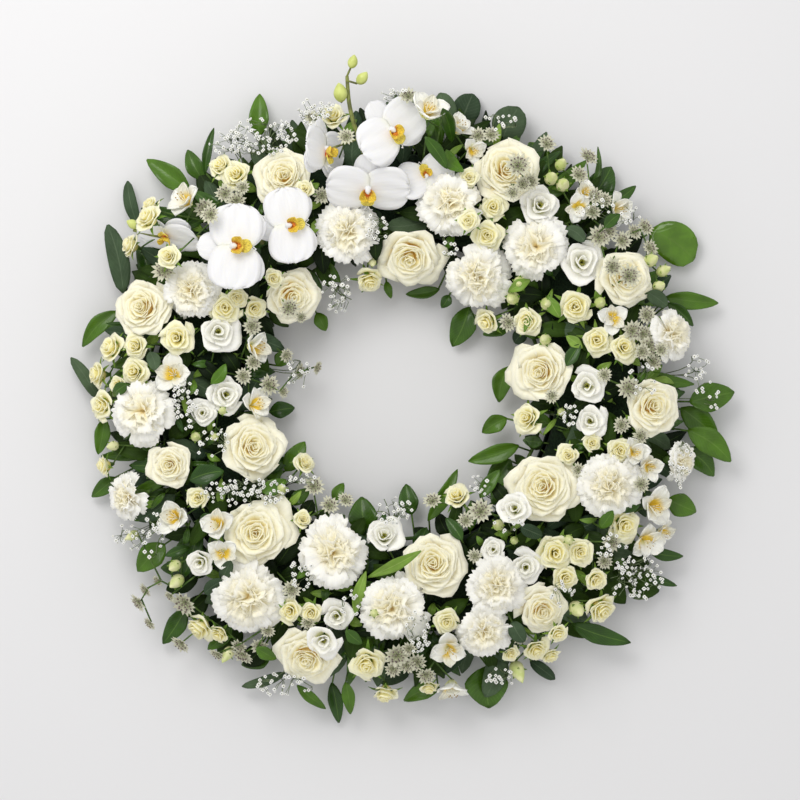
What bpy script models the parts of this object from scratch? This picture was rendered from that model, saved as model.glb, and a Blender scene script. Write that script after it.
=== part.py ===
# A fresh-flower funeral wreath, lying on its back: a plastic tray holds a ring of wet floral foam, and every
# stem stands in a plain hole in that foam. Roses, carnations, orchids, lisianthus, alstroemeria, spray roses
# and masterwort cover the ring, and leafy branches with baby's breath fringe it inside and out.
# Metres, +Z up. The origin is under the middle of the whole wreath, on the surface it lies on.
import math
import random

import bmesh
import bpy
from mathutils import Matrix, Vector
from mathutils.bvhtree import BVHTree

MM = 0.001

# The photograph looks straight down on the wreath, so places on its face are read from it, in its pixels.
PIXEL = 1.05 * MM  # what one pixel spans at the height of the blooms
MIDDLE = (397, 392)  # the pixel over the ring's centre

# The bought ring: a 500 mm foam ring in its tray.
RING_RADIUS = 210 * MM  # to the middle of the foam
FOAM_HALF_WIDTH = 42 * MM
FOAM_SHOULDER = 38 * MM
FOAM_TOP = 52 * MM
TRAY_HEIGHT = 22 * MM
TRAY_FLOOR = 3 * MM
TRAY_WALL = 2 * MM
RING_STEPS = 24

# The blooms stand on a cushion-shaped rise over the ring.
CUSHION_RADIUS = 215 * MM
CUSHION_HALF_WIDTH = 112 * MM
CUSHION_BASE = 24 * MM
CUSHION_RISE = 58 * MM
CUSHION_EDGE = 0.96  # how far out on the rise a bloom may stand

FIT = 0.35 * MM  # what pieces keep clear of each other
STEM_END = 24 * MM  # how high above the surface the stems end, inside the foam
STEM_REACH = 36 * MM  # how far from the foam's middle line a stem may enter it
HUB_HEIGHT = 57 * MM  # where the stems of one spray part, just above the foam
BRANCH_HEIGHT = 15 * MM  # the leafy branches lie low round the foam
OUTER_BRANCH = 264 * MM
INNER_BRANCH = 156 * MM

SIZES = {"rose": 2.7 * MM, "carnation": 2.2 * MM, "spray": 2.0 * MM, "twig": 1.2 * MM, "thread": 0.9 * MM}

COLOURS = {
    "cream": ((0.93, 0.89, 0.72), 0.6),
    "white": ((0.93, 0.93, 0.90), 0.6),
    "butter": ((0.92, 0.88, 0.62), 0.6),
    "orchid": ((0.95, 0.95, 0.96), 0.45),
    "masterwort": ((0.72, 0.74, 0.60), 0.8),
    "leaf": ((0.07, 0.20, 0.04), 0.4),
    "gum_leaf": ((0.20, 0.30, 0.22), 0.6),
    "stalk": ((0.26, 0.38, 0.12), 0.6),
    "foam": ((0.10, 0.22, 0.10), 0.95),
    "tray": ((0.03, 0.07, 0.04), 0.5),
}

# A flower head is worked out from its heart: each ring is (angle from the head's axis in degrees, reach as a
# share of the head's radius, how deep the notches between petals are, how far the petals are turned).
HEADS = {
    "rose": {
        "colour": "cream", "sides": 12, "petal": 3, "top": 0.46, "foot": 0.62,
        "rings": [(28, 0.62, 0.10, 0), (58, 0.80, 0.12, 1), (86, 1.0, 0.15, 2), (128, 0.70, 0.05, 2)],
    },
    "carnation": {
        "colour": "white", "sides": 12, "petal": 2, "top": 0.78, "foot": 0.66,
        "rings": [(27, 0.85, 0.14, 0), (52, 0.93, 0.15, 1), (84, 1.0, 0.13, 0)],
    },
    "lisianthus": {
        "colour": "white", "sides": 8, "petal": 2, "top": 0.12, "foot": 0.85,
        "rings": [(24, 0.36, 0.0, 0), (58, 0.94, 0.10, 0), (96, 0.92, 0.08, 1)],
    },
    "spray_rose": {
        "colour": "butter", "sides": 8, "petal": 2, "top": 0.62, "foot": 0.92,
        "rings": [(36, 0.72, 0.14, 0), (90, 1.0, 0.14, 1)],
    },
    "alstroemeria": {
        "colour": "cream", "sides": 12, "petal": 2, "top": 0.16, "foot": 1.15,
        "rings": [(56, 1.0, 0.50, 0), (110, 0.50, 0.20, 0)],
    },
    "masterwort": {
        "colour": "masterwort", "sides": 8, "petal": 2, "top": 0.60, "foot": 0.40,
        "rings": [(80, 1.0, 0.38, 0)],
    },
    "bud": {
        "colour": "stalk", "sides": 5, "petal": 2, "top": 1.25, "foot": 1.35,
        "rings": [(52, 0.95, 0.0, 0), (116, 0.95, 0.0, 0)],
    },
    "lip": {
        "colour": "butter", "sides": 6, "petal": 2, "top": 0.9, "foot": 0.9,
        "rings": [(80, 1.0, 0.3, 0)],
    },
    "floret": {
        "colour": "white", "sides": 4, "petal": 2, "top": 0.8, "foot": 1.0,
        "rings": [(80, 1.0, 0.0, 0)],
    },
}

# The big blooms: pixel across, pixel down, radius in pixels, and for some how far they are lifted (mm) and
# which way they lean.
ROSES = [
    (410, 258, 33), (284, 176, 31), (292, 296, 29), (142, 307, 31), (253, 447, 34), (170, 465, 24),
    (256, 533, 37), (307, 658, 32), (433, 564, 35), (543, 487, 38), (543, 611, 26), (541, 372, 33),
    (653, 407, 31), (625, 277, 30), (506, 170, 35),
]
CARNATIONS = [
    [(143, 411, 31)], [(128, 497, 24, 0, (-0.5, 0.0))], [(192, 291, 28)], [(347, 232, 31)], [(450, 203, 34)],
    [(477, 276, 33)], [(536, 247, 32)], [(671, 335, 26, 0, (0.5, 0.1))], [(609, 486, 33)], [(392, 608, 34)],
    [(333, 552, 35)], [(249, 597, 36)], [(497, 585, 30), (484, 631, 27)], [(681, 462, 21, -6, (0.5, 0.0))],
]

# The small flowers of one part of the ring share a stem that stands in the foam at "foot".
SPRAYS = {
    "lisianthus_1": ((210, 366), [("lisianthus", 219, 332, 19), ("lisianthus", 226, 395, 20),
                                  ("lisianthus", 203, 413, 13), ("bud", 223, 411, 5, 8)]),
    "lisianthus_2": ((345, 598), [("lisianthus", 337, 616, 16), ("lisianthus", 323, 641, 17, 10)]),
    "lisianthus_3": ((516, 545), [("lisianthus", 514, 508, 18), ("lisianthus", 526, 567, 17),
                                  ("lisianthus", 493, 549, 12), ("spray_rose", 457, 496, 12),
                                  ("masterwort", 433, 502, 9), ("masterwort", 481, 512, 12),
                                  ("masterwort", 466, 521, 8)]),
    "alstroemeria_1": ((206, 348), [("alstroemeria", 174, 374, 18, 0, (0.0, 0.2)),
                                    ("alstroemeria", 257, 346, 17, 0, (1.2, 0.1)),
                                    ("alstroemeria", 257, 404, 16, 6, (0.6, 0.2)),
                                    ("masterwort", 252, 326, 9), ("masterwort", 253, 362, 8)]),
    "alstroemeria_2": ((204, 503), [("alstroemeria", 174, 517, 18, 0, (-0.3, 0.3)),
                                    ("alstroemeria", 217, 525, 17, 0, (-0.2, 0.2)),
                                    ("spray_rose", 198, 498, 10), ("lisianthus", 200, 563, 15),
                                    ("bud", 174, 566, 7), ("bud", 176, 582, 8)]),
    "alstroemeria_3": ((446, 172), [("alstroemeria", 428, 113, 18, 0, (0.3, 0.2)),
                                    ("alstroemeria", 460, 126, 15, 0, (0.7, 0.7)),
                                    ("alstroemeria", 474, 150, 12, 0, (0.4, -0.5))]),
    "alstroemeria_4": ((568, 242), [("lisianthus", 582, 262, 22), ("lisianthus", 540, 205, 20),
                                    ("alstroemeria", 578, 209, 13, 0, (0.0, -0.5)),
                                    ("alstroemeria", 621, 208, 15, 0, (0.5, -0.3)),
                                    ("masterwort", 594, 196, 9), ("masterwort", 588, 157, 10),
                                    ("masterwort", 547, 144, 9), ("bud", 551, 178, 8),
                                    ("bud", 563, 185, 8)]),
    "alstroemeria_5": ((592, 510), [("alstroemeria", 655, 508, 18), ("alstroemeria", 650, 467, 14),
                                    ("alstroemeria", 648, 543, 16), ("alstroemeria", 666, 534, 13),
                                    ("spray_rose", 625, 526, 15)]),
    "alstroemeria_6": ((446, 612), [("alstroemeria", 449, 650, 17),
                                    ("alstroemeria", 453, 692, 17, 0, (0, -0.8)),
                                    ("spray_rose", 447, 622, 12), ("masterwort", 426, 675, 9)]),
    "spray_roses_1": ((249, 221), [("spray_rose", 220, 165, 12), ("spray_rose", 236, 174, 13),
                                   ("spray_rose", 149, 219, 13), ("spray_rose", 127, 244, 11, 0, (-0.6, 0)),
                                   ("alstroemeria", 184, 200, 18, 0, (-0.4, 0.3)),
                                   ("masterwort", 225, 194, 9), ("masterwort", 205, 209, 10),
                                   ("masterwort", 165, 271, 11)]),
    "spray_roses_2": ((186, 352), [("spray_rose", 177, 338, 15), ("spray_rose", 135, 346, 12),
                                   ("spray_rose", 134, 372, 13),
                                   ("spray_rose", 109, 348, 13, 0, (-0.3, 0.3)),
                                   ("spray_rose", 95, 374, 12, 0, (-0.5, 0)), ("spray_rose", 100, 406, 13),
                                   ("spray_rose", 225, 308, 15), ("spray_rose", 255, 309, 11)]),
    "spray_roses_3": ((488, 222), [("spray_rose", 493, 207, 12), ("spray_rose", 468, 222, 10, 6),
                                   ("spray_rose", 487, 236, 14, 6), ("masterwort", 517, 168, 12),
                                   ("masterwort", 512, 194, 7), ("masterwort", 530, 183, 8)]),
    "spray_roses_4": ((562, 328), [("spray_rose", 487, 322, 12), ("spray_rose", 527, 321, 13),
                                   ("spray_rose", 575, 307, 16), ("spray_rose", 597, 340, 14),
                                   ("spray_rose", 624, 347, 13), ("bud", 513, 298, 8), ("bud", 547, 304, 8),
                                   ("masterwort", 632, 331, 10), ("masterwort", 648, 347, 11),
                                   ("masterwort", 599, 237, 11), ("masterwort", 627, 277, 11)]),
    "spray_roses_5": ((573, 431), [("lisianthus", 587, 386, 19), ("lisianthus", 590, 421, 16),
                                   ("spray_rose", 527, 418, 14), ("spray_rose", 568, 455, 10),
                                   ("spray_rose", 592, 443, 9), ("spray_rose", 620, 451, 12),
                                   ("masterwort", 604, 375, 7, 6), ("masterwort", 628, 388, 11),
                                   ("masterwort", 621, 425, 8)]),
    "spray_roses_6": ((568, 541), [("spray_rose", 555, 553, 17), ("spray_rose", 580, 552, 13),
                                   ("spray_rose", 566, 578, 12), ("spray_rose", 597, 580, 11),
                                   ("bud", 577, 609, 9), ("spray_rose", 603, 611, 15),
                                   ("spray_rose", 537, 651, 12), ("spray_rose", 558, 634, 10),
                                   ("bud", 518, 672, 9), ("masterwort", 604, 561, 8)]),
    "spray_roses_7": ((415, 596), [("spray_rose", 367, 665, 16), ("spray_rose", 385, 697, 12, 0, (0, -0.5)),
                                   ("lisianthus", 384, 535, 18), ("masterwort", 397, 655, 12)]),
    "spray_roses_8": ((285, 590), [("spray_rose", 290, 611, 12), ("spray_rose", 311, 613, 11),
                                   ("spray_rose", 197, 630, 14), ("spray_rose", 218, 636, 10),
                                   ("masterwort", 243, 655, 11), ("masterwort", 185, 603, 13),
                                   ("masterwort", 260, 646, 9), ("masterwort", 181, 644, 10)]),
    "spray_roses_9": ((274, 499), [("spray_rose", 305, 463, 10), ("bud", 281, 489, 7)]),
    "spray_roses_10": ((292, 530), [("spray_rose", 303, 519, 9), ("masterwort", 313, 487, 10),
                                    ("masterwort", 329, 506, 9), ("masterwort", 345, 501, 8)]),
}

# Moth orchids: pixel across and down, radius in pixels, lift (mm), lean, and the turn of the flower on its
# stalk in degrees. The route is the flower stem's, through pixels and heights (mm).
ORCHIDS = {
    "orchid_left": {
        "foot": (262, 242),
        "flowers": [(238, 248, 43, 42, (0.0, 0.05), 60), (291, 226, 38, 20, (0.12, 0.0), 70),
                    (168, 236, 34, 18, (-0.2, -1.6), 30)],
        "route": [(262, 242, 84), (225, 238, 96), (164, 238, 84), (130, 229, 66)],
        "buds": [(148, 221, 7), (133, 225, 6)],
    },
    "orchid_top": {
        "foot": (376, 190),
        "flowers": [(370, 188, 42, 16, (0.0, -0.1), 175), (388, 126, 37, 44, (0.7, -0.2), 40),
                    (327, 152, 34, 30, (1.7, -0.1), 80), (424, 168, 28, 4, (0.3, 0.1), 200)],
        "route": [(376, 190, 84), (364, 158, 96), (354, 122, 98), (351, 74, 84)],
        "buds": [(351, 63, 7), (362, 80, 7), (339, 95, 12)],
    },
}

# Leaves: where the blade starts, where its tip is, and its width, all in pixels, and its colour.
OUTER_LEAVES = [
    (257, 134, 258, 90, 20, "leaf"), (188, 190, 144, 157, 22, "leaf"), (201, 178, 185, 147, 18, "leaf"),
    (203, 172, 212, 125, 9, "leaf"), (134, 222, 124, 178, 13, "gum_leaf"),
    (121, 292, 105, 223, 21, "gum_leaf"), (146, 278, 134, 245, 18, "leaf"),
    (115, 310, 79, 346, 18, "leaf"), (94, 398, 67, 357, 13, "gum_leaf"),
    (102, 418, 95, 455, 16, "leaf"), (112, 478, 88, 498, 16, "leaf"), (163, 545, 135, 573, 26, "leaf"),
    (184, 610, 160, 647, 20, "leaf"), (270, 655, 240, 668, 20, "leaf"),
    (284, 676, 240, 690, 10, "gum_leaf"), (296, 688, 325, 712, 11, "leaf"),
    (331, 686, 338, 727, 15, "leaf"), (345, 684, 350, 717, 13, "leaf"),
    (378, 684, 410, 675, 15, "gum_leaf"), (440, 690, 404, 704, 18, "leaf"),
    (489, 668, 490, 712, 44, "leaf"), (500, 652, 487, 700, 24, "gum_leaf"),
    (532, 664, 557, 683, 12, "gum_leaf"), (573, 626, 633, 645, 19, "leaf"),
    (632, 584, 665, 596, 34, "leaf"), (652, 553, 686, 558, 12, "leaf"),
    (670, 500, 699, 513, 24, "leaf"), (686, 450, 718, 477, 24, "leaf"),
    (690, 430, 734, 462, 26, "leaf"), (684, 408, 722, 440, 26, "leaf"),
    (692, 402, 738, 392, 30, "leaf"), (668, 296, 722, 302, 18, "leaf"),
    (670, 302, 696, 325, 13, "leaf"), (654, 232, 698, 258, 40, "leaf"),
    (608, 205, 638, 184, 13, "leaf"), (594, 196, 614, 164, 28, "leaf"),
    (530, 140, 556, 166, 16, "leaf"), (503, 138, 520, 104, 34, "gum_leaf"),
    (462, 120, 474, 90, 28, "gum_leaf"), (452, 118, 440, 90, 20, "gum_leaf"),
    (428, 108, 412, 92, 10, "leaf"),
]
INNER_LEAVES = [
    (316, 312, 325, 330, 14, "leaf"), (386, 280, 391, 297, 8, "leaf"), (440, 288, 406, 293, 12, "leaf"),
    (450, 294, 442, 307, 11, "leaf"), (470, 306, 453, 346, 26, "leaf"),
    (512, 325, 484, 334, 16, "leaf"), (527, 332, 516, 342, 14, "gum_leaf"),
    (510, 366, 500, 402, 20, "leaf"), (508, 418, 483, 433, 18, "leaf"),
    (520, 446, 469, 462, 19, "leaf"), (512, 460, 488, 490, 24, "leaf"),
    (428, 523, 457, 475, 15, "leaf"), (412, 516, 406, 485, 20, "leaf"),
    (366, 534, 361, 498, 30, "leaf"), (333, 502, 343, 484, 12, "leaf"),
    (284, 472, 304, 442, 20, "leaf"), (268, 412, 293, 408, 17, "leaf"),
    (276, 366, 287, 350, 15, "leaf"),
]

# Baby's breath: the middle of each cloud of florets, how far it spreads (all in pixels), how many florets it
# has, and the branch that it grows from.
CLOUDS = [
    (262, 136, 34, 20, 5, OUTER_BRANCH), (318, 108, 14, 10, 2, OUTER_BRANCH),
    (128, 538, 18, 14, 2, OUTER_BRANCH), (276, 690, 18, 12, 2, OUTER_BRANCH),
    (705, 378, 12, 20, 2, OUTER_BRANCH), (640, 584, 26, 22, 3, OUTER_BRANCH),
    (146, 608, 10, 24, 3, OUTER_BRANCH), (337, 292, 12, 16, 3, INNER_BRANCH),
    (392, 506, 18, 16, 3, INNER_BRANCH), (480, 484, 8, 12, 1, INNER_BRANCH),
    (298, 374, 14, 12, 2, INNER_BRANCH), (262, 488, 32, 12, 3, INNER_BRANCH),
]
# Where one leafy branch ends and the next starts, in degrees. The inner ones end beside the corners of the
# wreath's square opening, so that none of them bends round it.
OUTER_ENDS = (20, 110, 200, 290)
INNER_ENDS = (52, 148, 225, 288)
FLORET_SIZE = 3.6 * MM
COLLAR_LENGTH = 66 * MM
COLLAR_WIDTH = 38 * MM
KNOT_SIZE = 6.5 * MM  # the joint that a spray's stalks grow from
LEAF_HALF_THICKNESS = 0.8 * MM
LEAF_HEIGHTS = (17, 24, 20, 28, 14, 32)  # mm
BRANCH_GAP = 5  # degrees between the end of a leafy branch and the middle of the gap to the next
SEED = 7

# The lobes of a moth orchid: angle, length, half width in degrees, and how far each stands forward.
ORCHID_LOBES = [(0, 1.0, 58, 0.16), (180, 1.0, 58, 0.16), (90, 0.95, 30, -0.1), (215, 0.92, 28, -0.1),
                (325, 0.92, 28, -0.1)]


def on_face(across, down):
    """The place on the wreath's face under a pixel of the photograph, from the ring's centre."""
    return Vector(((across - MIDDLE[0]) * PIXEL, (MIDDLE[1] - down) * PIXEL, 0.0))


def outward(point):
    """Level direction from the ring's centre to a point."""
    return Vector((point.x, point.y, 0.0)).normalized()


def seat(across, down, lift=0.0, lean=(0.0, 0.0)):
    """Where a bloom seen at a pixel stands on the cushion-shaped rise, and which way it faces."""
    flat = on_face(across, down)
    share = (flat.length - CUSHION_RADIUS) / CUSHION_HALF_WIDTH
    share = max(-CUSHION_EDGE, min(CUSHION_EDGE, share))
    height = math.sqrt(1 - share * share)
    slope = outward(flat) * (share / CUSHION_HALF_WIDTH) + Vector((0, 0, height / CUSHION_RISE))
    centre = Vector((flat.x, flat.y, CUSHION_BASE + CUSHION_RISE * height + lift * MM))
    axis = (slope.normalized() + Vector((lean[0], lean[1], 0.0))).normalized()
    return centre, axis


def frame_about(axis):
    """Two directions at right angles to an axis and to each other."""
    side = Vector((0, 0, 1)) if abs(axis.z) < 0.8 else Vector((0, 1, 0))
    first = axis.cross(side).normalized()
    return first, axis.cross(first).normalized()


def petalled_head(kind, centre, axis, radius, turn=0.0):
    """A closed flower head: rings of petals about its heart, with notches between the petals."""
    shape = HEADS[kind]
    sides = shape["sides"]
    first, second = frame_about(axis)
    points = [centre + axis * (radius * shape["top"])]
    for angle, reach, notch, shift in shape["rings"]:
        tilt = math.radians(angle)
        for k in range(sides):
            about = turn + 2 * math.pi * k / sides
            between = (k + shift) % shape["petal"] == 0
            distance = radius * reach * (1 - notch if between else 1)
            level = first * math.cos(about) + second * math.sin(about)
            points.append(centre + (axis * math.cos(tilt) + level * math.sin(tilt)) * distance)
    points.append(centre - axis * (radius * shape["foot"]))
    faces = rings_closed(len(shape["rings"]), sides)
    return points, faces


def rings_closed(rings, sides):
    """Faces of a surface made of a top point, rings of points and a foot point, facing out."""
    faces = []
    last = 1 + rings * sides
    for k in range(sides):
        after = (k + 1) % sides
        faces.append((0, 1 + k, 1 + after))
        for ring in range(rings - 1):
            a, b = 1 + ring * sides, 1 + (ring + 1) * sides
            faces.append((a + k, b + k, b + after))
            faces.append((a + k, b + after, a + after))
        faces.append((last, last - sides + after, last - sides + k))
    return faces


def tube(path, radius, sides):
    """A closed stem of constant thickness along a list of points."""
    points, faces = [], []
    along = (path[1] - path[0]).normalized()
    first, second = frame_about(along)
    for i, place in enumerate(path):
        before = (place - path[i - 1]).normalized() if i else along
        after = (path[i + 1] - place).normalized() if i + 1 < len(path) else before
        bisector = (before + after).normalized()
        first = (first - bisector * first.dot(bisector)).normalized()
        second = bisector.cross(first)
        for k in range(sides):
            about = 2 * math.pi * k / sides
            points.append(place + (first * math.cos(about) + second * math.sin(about)) * radius)
    for i in range(len(path) - 1):
        for k in range(sides):
            a, b = i * sides + k, i * sides + (k + 1) % sides
            faces.append((a, b, b + sides, a + sides))
    faces.append(tuple(reversed(range(sides))))
    faces.append(tuple(range(len(points) - sides, len(points))))
    return points, faces


def leaf(hold, start, tip, width, arch):
    """A pointed leaf in one piece with its stalk, from its hold on a branch to its tip.

    The blade is arched between its start and its tip, and folded a little along its rib.
    """
    ribs = [hold]
    for share in (0.30, 0.68):
        ribs.append(start + (tip - start) * share + Vector((0, 0, arch * math.sin(math.pi * share))))
    points = []
    sections = ((1.4 * MM, 0.0), (width * 0.44, width * 0.10), (width * 0.44, width * 0.10))
    for number, (half, rise) in enumerate(sections):
        rib = ribs[number]
        onward = (ribs[number + 1] if number < 2 else tip) - rib
        along = onward.normalized() + ((rib - ribs[number - 1]).normalized() * 0.8 if number else Vector())
        side = Vector((-along.y, along.x, 0.0)).normalized() * half
        lift = Vector((0, 0, rise))
        skin = Vector((0, 0, LEAF_HALF_THICKNESS))
        points += [rib + side + lift, rib + skin, rib - side + lift, rib - skin]
    points.append(tip)
    faces = [(0, 2, 1), (0, 3, 2)]
    last = 4 * (len(ribs) - 1)
    for k in range(4):
        after = (k + 1) % 4
        side, rib = (k, after) if k % 2 == 0 else (after, k)
        for a in range(0, last, 4):
            faces.append((a + side, a + rib, a + 4 + rib))  # split alike on both faces of the blade
            faces.append((a + side, a + 4 + rib, a + 4 + side))
        faces.append((last + k, last + after, len(points) - 1))
    return points, faces


def floret(hold, centre, size):
    """A tiny flower that opens from the end of its own thread."""
    along = (centre - hold).normalized()
    first, second = frame_about(along)
    points = []
    for place, radius in ((hold, SIZES["thread"]), (centre, size)):
        for k in range(3):
            about = 2 * math.pi * k / 3
            points.append(place + (first * math.cos(about) + second * math.sin(about)) * radius)
    points.append(centre + along * (size * 0.6))
    faces = [(2, 1, 0)]
    for k in range(3):
        after = (k + 1) % 3
        faces += [(k, after, 3 + after), (k, 3 + after, 3 + k), (3 + k, 3 + after, 6)]
    return points, faces


def orchid_outline(about):
    """How far a moth orchid reaches in a direction, and how far it stands forward, as shares of its radius.

    Two round petals at the sides stand forward, and three narrow sepals between them lie back.
    """
    reach, forward = 0.30, 0.0
    for angle, length, breadth, stand in ORCHID_LOBES:
        away = abs((about - angle + 180) % 360 - 180) / breadth
        if away < 1 and length * (1 - away ** 2.6) ** 0.5 > reach:
            reach, forward = length * (1 - away ** 2.6) ** 0.5, stand
    return reach, forward


def orchid_flower(centre, axis, radius, turn):
    """A moth orchid as one thin plate with five lobes, its lip, and where its stalk joins it."""
    first, second = frame_about(axis)
    steps = 20
    thickness = 1.3 * MM
    points = [centre + axis * thickness, centre - axis * thickness]
    faces = []
    for k in range(steps):
        about = 360.0 * k / steps
        reach, forward = orchid_outline(about)
        angle = math.radians(about + turn)
        level = first * math.cos(angle) + second * math.sin(angle)
        points.append(centre + (level * reach + axis * forward) * radius)
        after = 2 + (k + 1) % steps
        faces += [(0, 2 + k, after), (1, after, 2 + k)]
    down = math.radians(270 + turn)
    forward = first * math.cos(down) + second * math.sin(down)
    lip = petalled_head("lip", centre + forward * (radius * 0.2) + axis * (radius * 0.17), axis, radius * 0.25)
    joint = centre - forward * (radius * 0.3) - axis * (radius * 0.03)
    return (points, faces), lip, joint


def turned_ring(section, steps):
    """A ring whose section is a closed outline of (distance from the ring's middle line, height) points."""
    points, faces = [], []
    count = len(section)
    for i in range(steps):
        about = 2 * math.pi * i / steps
        for away, height in section:
            radius = RING_RADIUS + away
            points.append(Vector((radius * math.cos(about), radius * math.sin(about), height)))
    for i in range(steps):
        for k in range(count):
            a, b = i * count, ((i + 1) % steps) * count
            after = (k + 1) % count
            faces.append((a + k, b + k, b + after, a + after))
    return points, faces


class Wreath:
    """Gathers the pieces of every node, keeps stems clear of each other, and lets the blooms crowd up."""

    def __init__(self):
        self.solids = {}  # node: list of (points, faces, colour), which keep their shape
        self.heads = []  # (node, kind, centre, axis, radius, turn), which give way to their neighbours
        self.placed = []  # (node, tree, low corner, high corner) of every solid so far
        self.holes = []  # stems that need a hole in the foam

    def is_clear(self, node, points, faces):
        """Whether a shape crosses no solid of another node."""
        low = Vector([min(p[i] for p in points) for i in range(3)])
        high = Vector([max(p[i] for p in points) for i in range(3)])
        tree = BVHTree.FromPolygons(points, faces)
        for other, other_tree, other_low, other_high in self.placed:
            if other == node or any(low[i] > other_high[i] or high[i] < other_low[i] for i in range(3)):
                continue
            if tree.overlap(other_tree):
                return False
        return True

    def add(self, node, shape, colour):
        points, faces = shape
        low = Vector([min(p[i] for p in points) for i in range(3)])
        high = Vector([max(p[i] for p in points) for i in range(3)])
        self.placed.append((node, BVHTree.FromPolygons(points, faces), low, high))
        self.solids.setdefault(node, []).append((points, faces, colour))

    def add_first_clear(self, node, path_choices, radius, sides):
        """Adds a stem along the first path that crosses nothing, and returns that path."""
        for path in path_choices:
            if self.is_clear(node, *tube(path, radius + 2 * FIT, sides)):
                self.add(node, tube(path, radius, sides), "stalk")
                return path
        return None

    def add_head(self, node, kind, centre, axis, radius, turn=0.0):
        self.heads.append((node, kind, centre, axis, radius, turn))

    def add_root(self, node, path, radius, sides):
        """The end of a stem in its own hole in the foam."""
        self.add(node, tube(path, radius, sides), "stalk")
        self.holes.append((path, radius, sides))

    def root(self, node, top, foot, radius, sides=3):
        """A straight stem from a hub above the foam to its end inside it, in its own hole."""
        across = Vector((-foot.y, foot.x, 0.0)).normalized()
        choices = [[top, foot + across * (shift * MM)] for shift in (0, 5, -5, 9, -9, 13, -13)]
        path = self.add_first_clear(node, choices, radius, sides)
        if path is None:
            print("no room for the stem of", node)
            return
        self.holes.append((path, radius, sides))

    def branch(self, node, start, end, radius, sides=3):
        """A stem from a hub to a flower head, bent sideways as far as it takes to pass the others."""
        along = end - start
        side = along.cross(Vector((0, 0, 1)))
        if side.length < 1e-6:
            side = Vector((1, 0, 0))
        side.normalize()
        up = side.cross(along).normalized()
        middle = start + along * 0.5
        choices = [[start, end]]
        for bend in (6, 11, 16, 22):
            for way in (side, -side, up, -up):
                choices.append([start, middle + way * (bend * MM), end])
        path = self.add_first_clear(node, choices, radius, sides)
        if path is None:
            print("no room for a branch of", node, "to", [round(c * 1000) for c in end])
        return path


def foam_foot(centre):
    """Where a stem from above ends inside the foam."""
    flat = Vector((centre.x, centre.y, 0.0))
    away = max(-STEM_REACH, min(STEM_REACH, flat.length - RING_RADIUS)) * 0.8
    return outward(flat) * (RING_RADIUS + away) + Vector((0, 0, STEM_END))


def plant_bloom(wreath, node, kind, places, stem_radius):
    """One big bloom, or two that are pressed together, each with its own stem where there is room."""
    for place in places:
        across, down, radius = place[:3]
        centre, axis = seat(across, down, *place[3:])
        size = radius * PIXEL
        wreath.add_head(node, kind, centre, axis, size, turn=across * 0.7)
        beside = frame_about(axis)[0] * (size * 0.25)
        wreath.root(node, centre - axis * (size * 0.3) + beside, foam_foot(centre), stem_radius)


def plant_spray(wreath, node, foot, flowers):
    """A spray of small flowers whose stalks part at a hub above the foam."""
    ground = on_face(*foot)
    hub = Vector((ground.x, ground.y, HUB_HEIGHT))
    end = Vector((ground.x, ground.y, STEM_END))
    wreath.root(node, hub, end, SIZES["spray"])
    wreath.add(node, petalled_head("floret", hub, Vector((0, 0, 1)), KNOT_SIZE), "stalk")
    for flower in flowers:
        kind, across, down, radius = flower[:4]
        centre, axis = seat(across, down, *flower[4:])
        size = radius * PIXEL
        centre = resting_on_bigger(wreath, node, centre, size)
        end = centre - axis * (size * 0.3)
        if wreath.branch(node, hub, end, SIZES["twig"]):
            wreath.add_head(node, kind, centre, axis, size, turn=across * 0.7)
    return hub


def plant_collar(wreath, node, hub):
    """A leaf that spreads from a spray's joint, low between the blooms, where nothing is in its way."""
    start = math.atan2(hub.y, hub.x) + math.radians(90)
    for turn in (0, 180, 30, 210, -30, 150, 60, 240, -60, 120, 90, 270):
        about = start + math.radians(turn)
        way = Vector((math.cos(about), math.sin(about), 0.0))
        tip = hub + way * COLLAR_LENGTH
        tip.z -= max(0.0, tip.to_2d().length - RING_RADIUS - FOAM_HALF_WIDTH) * 0.5
        shape = leaf(hub, hub + way * (8 * MM), tip, COLLAR_WIDTH, 3 * MM)
        if wreath.is_clear(node, *shape):
            wreath.add(node, shape, "leaf")
            return
    print("no room for a collar leaf of", node)


def resting_on_bigger(wreath, node, centre, size):
    """Lifts a small head that is seen over a big bloom until it lies on that bloom."""
    for other, _, place, _, radius, _ in wreath.heads:
        if other == node or radius < 1.6 * size:
            continue
        level = (Vector((centre.x, centre.y)) - Vector((place.x, place.y))).length
        reach = 0.80 * radius + 0.6 * size
        if level < reach:
            centre.z = max(centre.z, place.z + math.sqrt(reach * reach - level * level))
    return centre


def plant_orchids(wreath, node, plan):
    """An arching orchid stem with its flowers and the buds at its end."""
    route = [on_face(a, d) + Vector((0, 0, h * MM)) for a, d, h in plan["route"]]
    ground = on_face(*plan["foot"])
    wreath.root(node, route[0] + Vector((0, 0, 3 * MM)), Vector((ground.x, ground.y, STEM_END)), SIZES["rose"])
    wreath.add(node, tube(route, SIZES["spray"], 4), "stalk")
    for across, down, radius, lift, lean, turn in plan["flowers"]:
        centre, axis = seat(across, down, lift, lean)
        plate, lip, joint = orchid_flower(centre, axis, radius * PIXEL, turn)
        near = min(route, key=lambda p: (p - centre).length)
        wreath.branch(node, near, joint, SIZES["twig"])
        wreath.add(node, plate, "orchid")
        wreath.add(node, lip, "butter")
    for across, down, radius in plan["buds"]:
        near = min(route, key=lambda p: (p - on_face(across, down)).to_2d().length)
        centre = on_face(across, down) + Vector((0, 0, near.z + 3 * MM))
        axis = (centre - near + Vector((0, 0, 2 * MM))).normalized()
        wreath.branch(node, near, centre, SIZES["twig"])
        wreath.add_head(node, "bud", centre, axis, radius * PIXEL * 0.8)


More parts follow.
